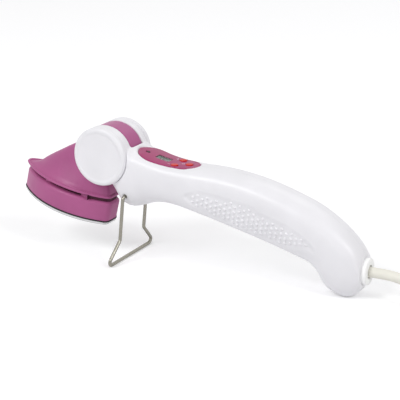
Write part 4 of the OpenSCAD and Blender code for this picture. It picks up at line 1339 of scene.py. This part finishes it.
def make_lip():
    """Rolled edge of the hood, a bead that follows the outline of the sole."""
    r = LIP_R
    front, rear, half, level = -60.5, 7.2, 16.35, LIP_LOW + 0.55
    line = [Vector((front + (rear - front) * px, half * py, level)) for px, py in LEAF_SHAPE]
    count = len(line)
    around = steps(0, 360, 12)[:-1]
    verts = []
    for i, point in enumerate(line):
        along = line[(i + 1) % count] - line[i - 1]
        out = Vector((along.y, -along.x, 0)).normalized()
        for a in around:
            rise = Vector((0, 0, r * math.sin(math.radians(a))))
            verts.append(point + out * r * math.cos(math.radians(a)) + rise)
    m = len(around)
    faces = []
    for i in range(count):
        after = (i + 1) % count
        for k in range(m):
            beside = (k + 1) % m
            faces.append((i * m + k, after * m + k, after * m + beside, i * m + beside))
    return add_piece("hood_lip", verts, faces, HEAD_FRAME, smooth=60)


def make_hood():
    hood = hood_loft("hood_piece", hood_rings, 5)
    room_r = CAP_R + FORK_GAP
    for side in (-1, 1):
        cut(hood, side_rod("cheek_room", side, DRUM_HALF, FAR_OUT, room_r, ALONG_Y, ROUND_SIDES))
    cut(hood, hood_loft("hollow", hood_core, 3))
    join(hood, rod("drum", -DRUM_HALF, DRUM_HALF, DRUM_R, ALONG_Y, 144))
    cut(hood, rod("bore", -FAR_OUT, FAR_OUT, PIVOT_R + PIVOT_PLAY, ALONG_Y, 64))
    soften(hood, voxel=0.36, rounds=3)
    return settle(hood, HEAD_FRAME, smooth=50)


dress(make_hood(), PURPLE, "head", "hood")
dress(make_lip(), PURPLE, "head", slot="purple_plastic")


# Stand: one bent wire
STAND_IN = 11
STAND_LEG = 15.35
STAND_FOOT = 30
STAND_SPLAY = 15.4
STAND_LEAN = 4.2
WIRE_BEND = 2.4


def bent(route, r, count):
    """Route with its corners rounded."""
    points = [Vector(p) for p in route]
    out = [points[0]]
    for a, b, c in zip(points, points[1:], points[2:]):
        u, v = (a - b).normalized(), (c - b).normalized()
        half = u.angle(v) / 2
        centre = b + (u + v).normalized() * r / math.sin(half)
        first = b + u * r / math.tan(half) - centre
        last = b + v * r / math.tan(half) - centre
        turn = math.pi - 2 * half
        for t in steps(0, 1, count):
            swing = first * math.sin(turn * (1 - t)) + last * math.sin(turn * t)
            out.append(centre + swing / math.sin(turn))
    out.append(points[-1])
    return out


def make_stand():
    splay_x = STAND_X - STAND_LEAN * (STAND_Z - STAND_SPLAY) / (STAND_Z - WIRE_R)
    half = [
        (STAND_X, -STAND_IN, STAND_Z),
        (STAND_X, -STAND_LEG, STAND_Z),
        (splay_x, -STAND_LEG, STAND_SPLAY),
        (STAND_X - STAND_LEAN, -STAND_FOOT, WIRE_R),
    ]
    route = half + [(x, -y, z) for x, y, z in reversed(half)]
    return wire_piece("stand_piece", bent(route, WIRE_BEND, 10), WIRE_R)


dress(make_stand(), NICKEL, "stand", "stand_wire")


# Table, light and background
TABLE_HALF = 2.6
TABLE_GLOW = 0.27
DAYLIGHT = 0.53


def seen_rays(nodes, links):
    """One for what is seen straight, in a reflection or through a clear piece, else nought."""
    rays = nodes.new("ShaderNodeLightPath")
    seen = rays.outputs["Is Camera Ray"]
    for kind in ("Is Glossy Ray", "Is Transmission Ray"):
        either = nodes.new("ShaderNodeMath")
        either.operation = "MAXIMUM"
        links.new(seen, either.inputs[0])
        links.new(rays.outputs[kind], either.inputs[1])
        seen = either.outputs["Value"]
    return seen


def make_floor():
    """Pale table that keeps the shadow and looks almost white."""
    material, nodes, links, shader, where = new_material("pale_table")
    shader.inputs["Base Color"].default_value = (0.86, 0.86, 0.87, 1)
    shader.inputs["Roughness"].default_value = 0.9
    shader.inputs["Specular IOR Level"].default_value = 0.1
    shader.inputs["Emission Color"].default_value = (1, 1, 1, 1)
    glow = nodes.new("ShaderNodeMath")
    glow.operation = "MULTIPLY"
    glow.inputs[1].default_value = TABLE_GLOW
    links.new(seen_rays(nodes, links), glow.inputs[0])
    links.new(glow.outputs["Value"], shader.inputs["Emission Strength"])
    corners = [(TABLE_HALF * x, TABLE_HALF * y, 0) for x, y in ((-1, -1), (1, -1), (1, 1), (-1, 1))]
    floor = add_piece("table", corners, [(0, 1, 2, 3)])
    floor.data.materials.append(material)


def make_light(name, spot, aim, size, power):
    data = bpy.data.lights.new(name, "AREA")
    data.shape = "DISK"
    data.size = size
    data.energy = power
    lamp = bpy.data.objects.new(name, data)
    lamp.location = spot
    lamp.rotation_mode = "QUATERNION"
    lamp.rotation_quaternion = (Vector(aim) - Vector(spot)).to_track_quat("-Z", "Y")
    scene.collection.objects.link(lamp)


def make_world():
    """Even daylight, white where the camera sees it."""
    world = bpy.data.worlds.new("studio")
    world.use_nodes = True
    nodes = world.node_tree.nodes
    links = world.node_tree.links
    level = nodes.new("ShaderNodeMapRange")
    level.inputs["To Min"].default_value = DAYLIGHT
    level.inputs["To Max"].default_value = 1
    links.new(seen_rays(nodes, links), level.inputs["Value"])
    nodes["Background"].inputs["Color"].default_value = (1, 1, 1, 1)
    links.new(level.outputs["Result"], nodes["Background"].inputs["Strength"])
    scene.world = world


make_floor()
make_light("key", spot=(-0.88, -2, 2), aim=(0, 0, 0.04), size=1.25, power=29)
make_light("back", spot=(0.25, 2, 2.25), aim=(0, 0, 0.04), size=1.5, power=7.5)
make_light("right", spot=(2.4, -0.75, 2), aim=(0.1, 0, 0.04), size=1.25, power=24)
make_world()
scene.view_settings.view_transform = "Standard"
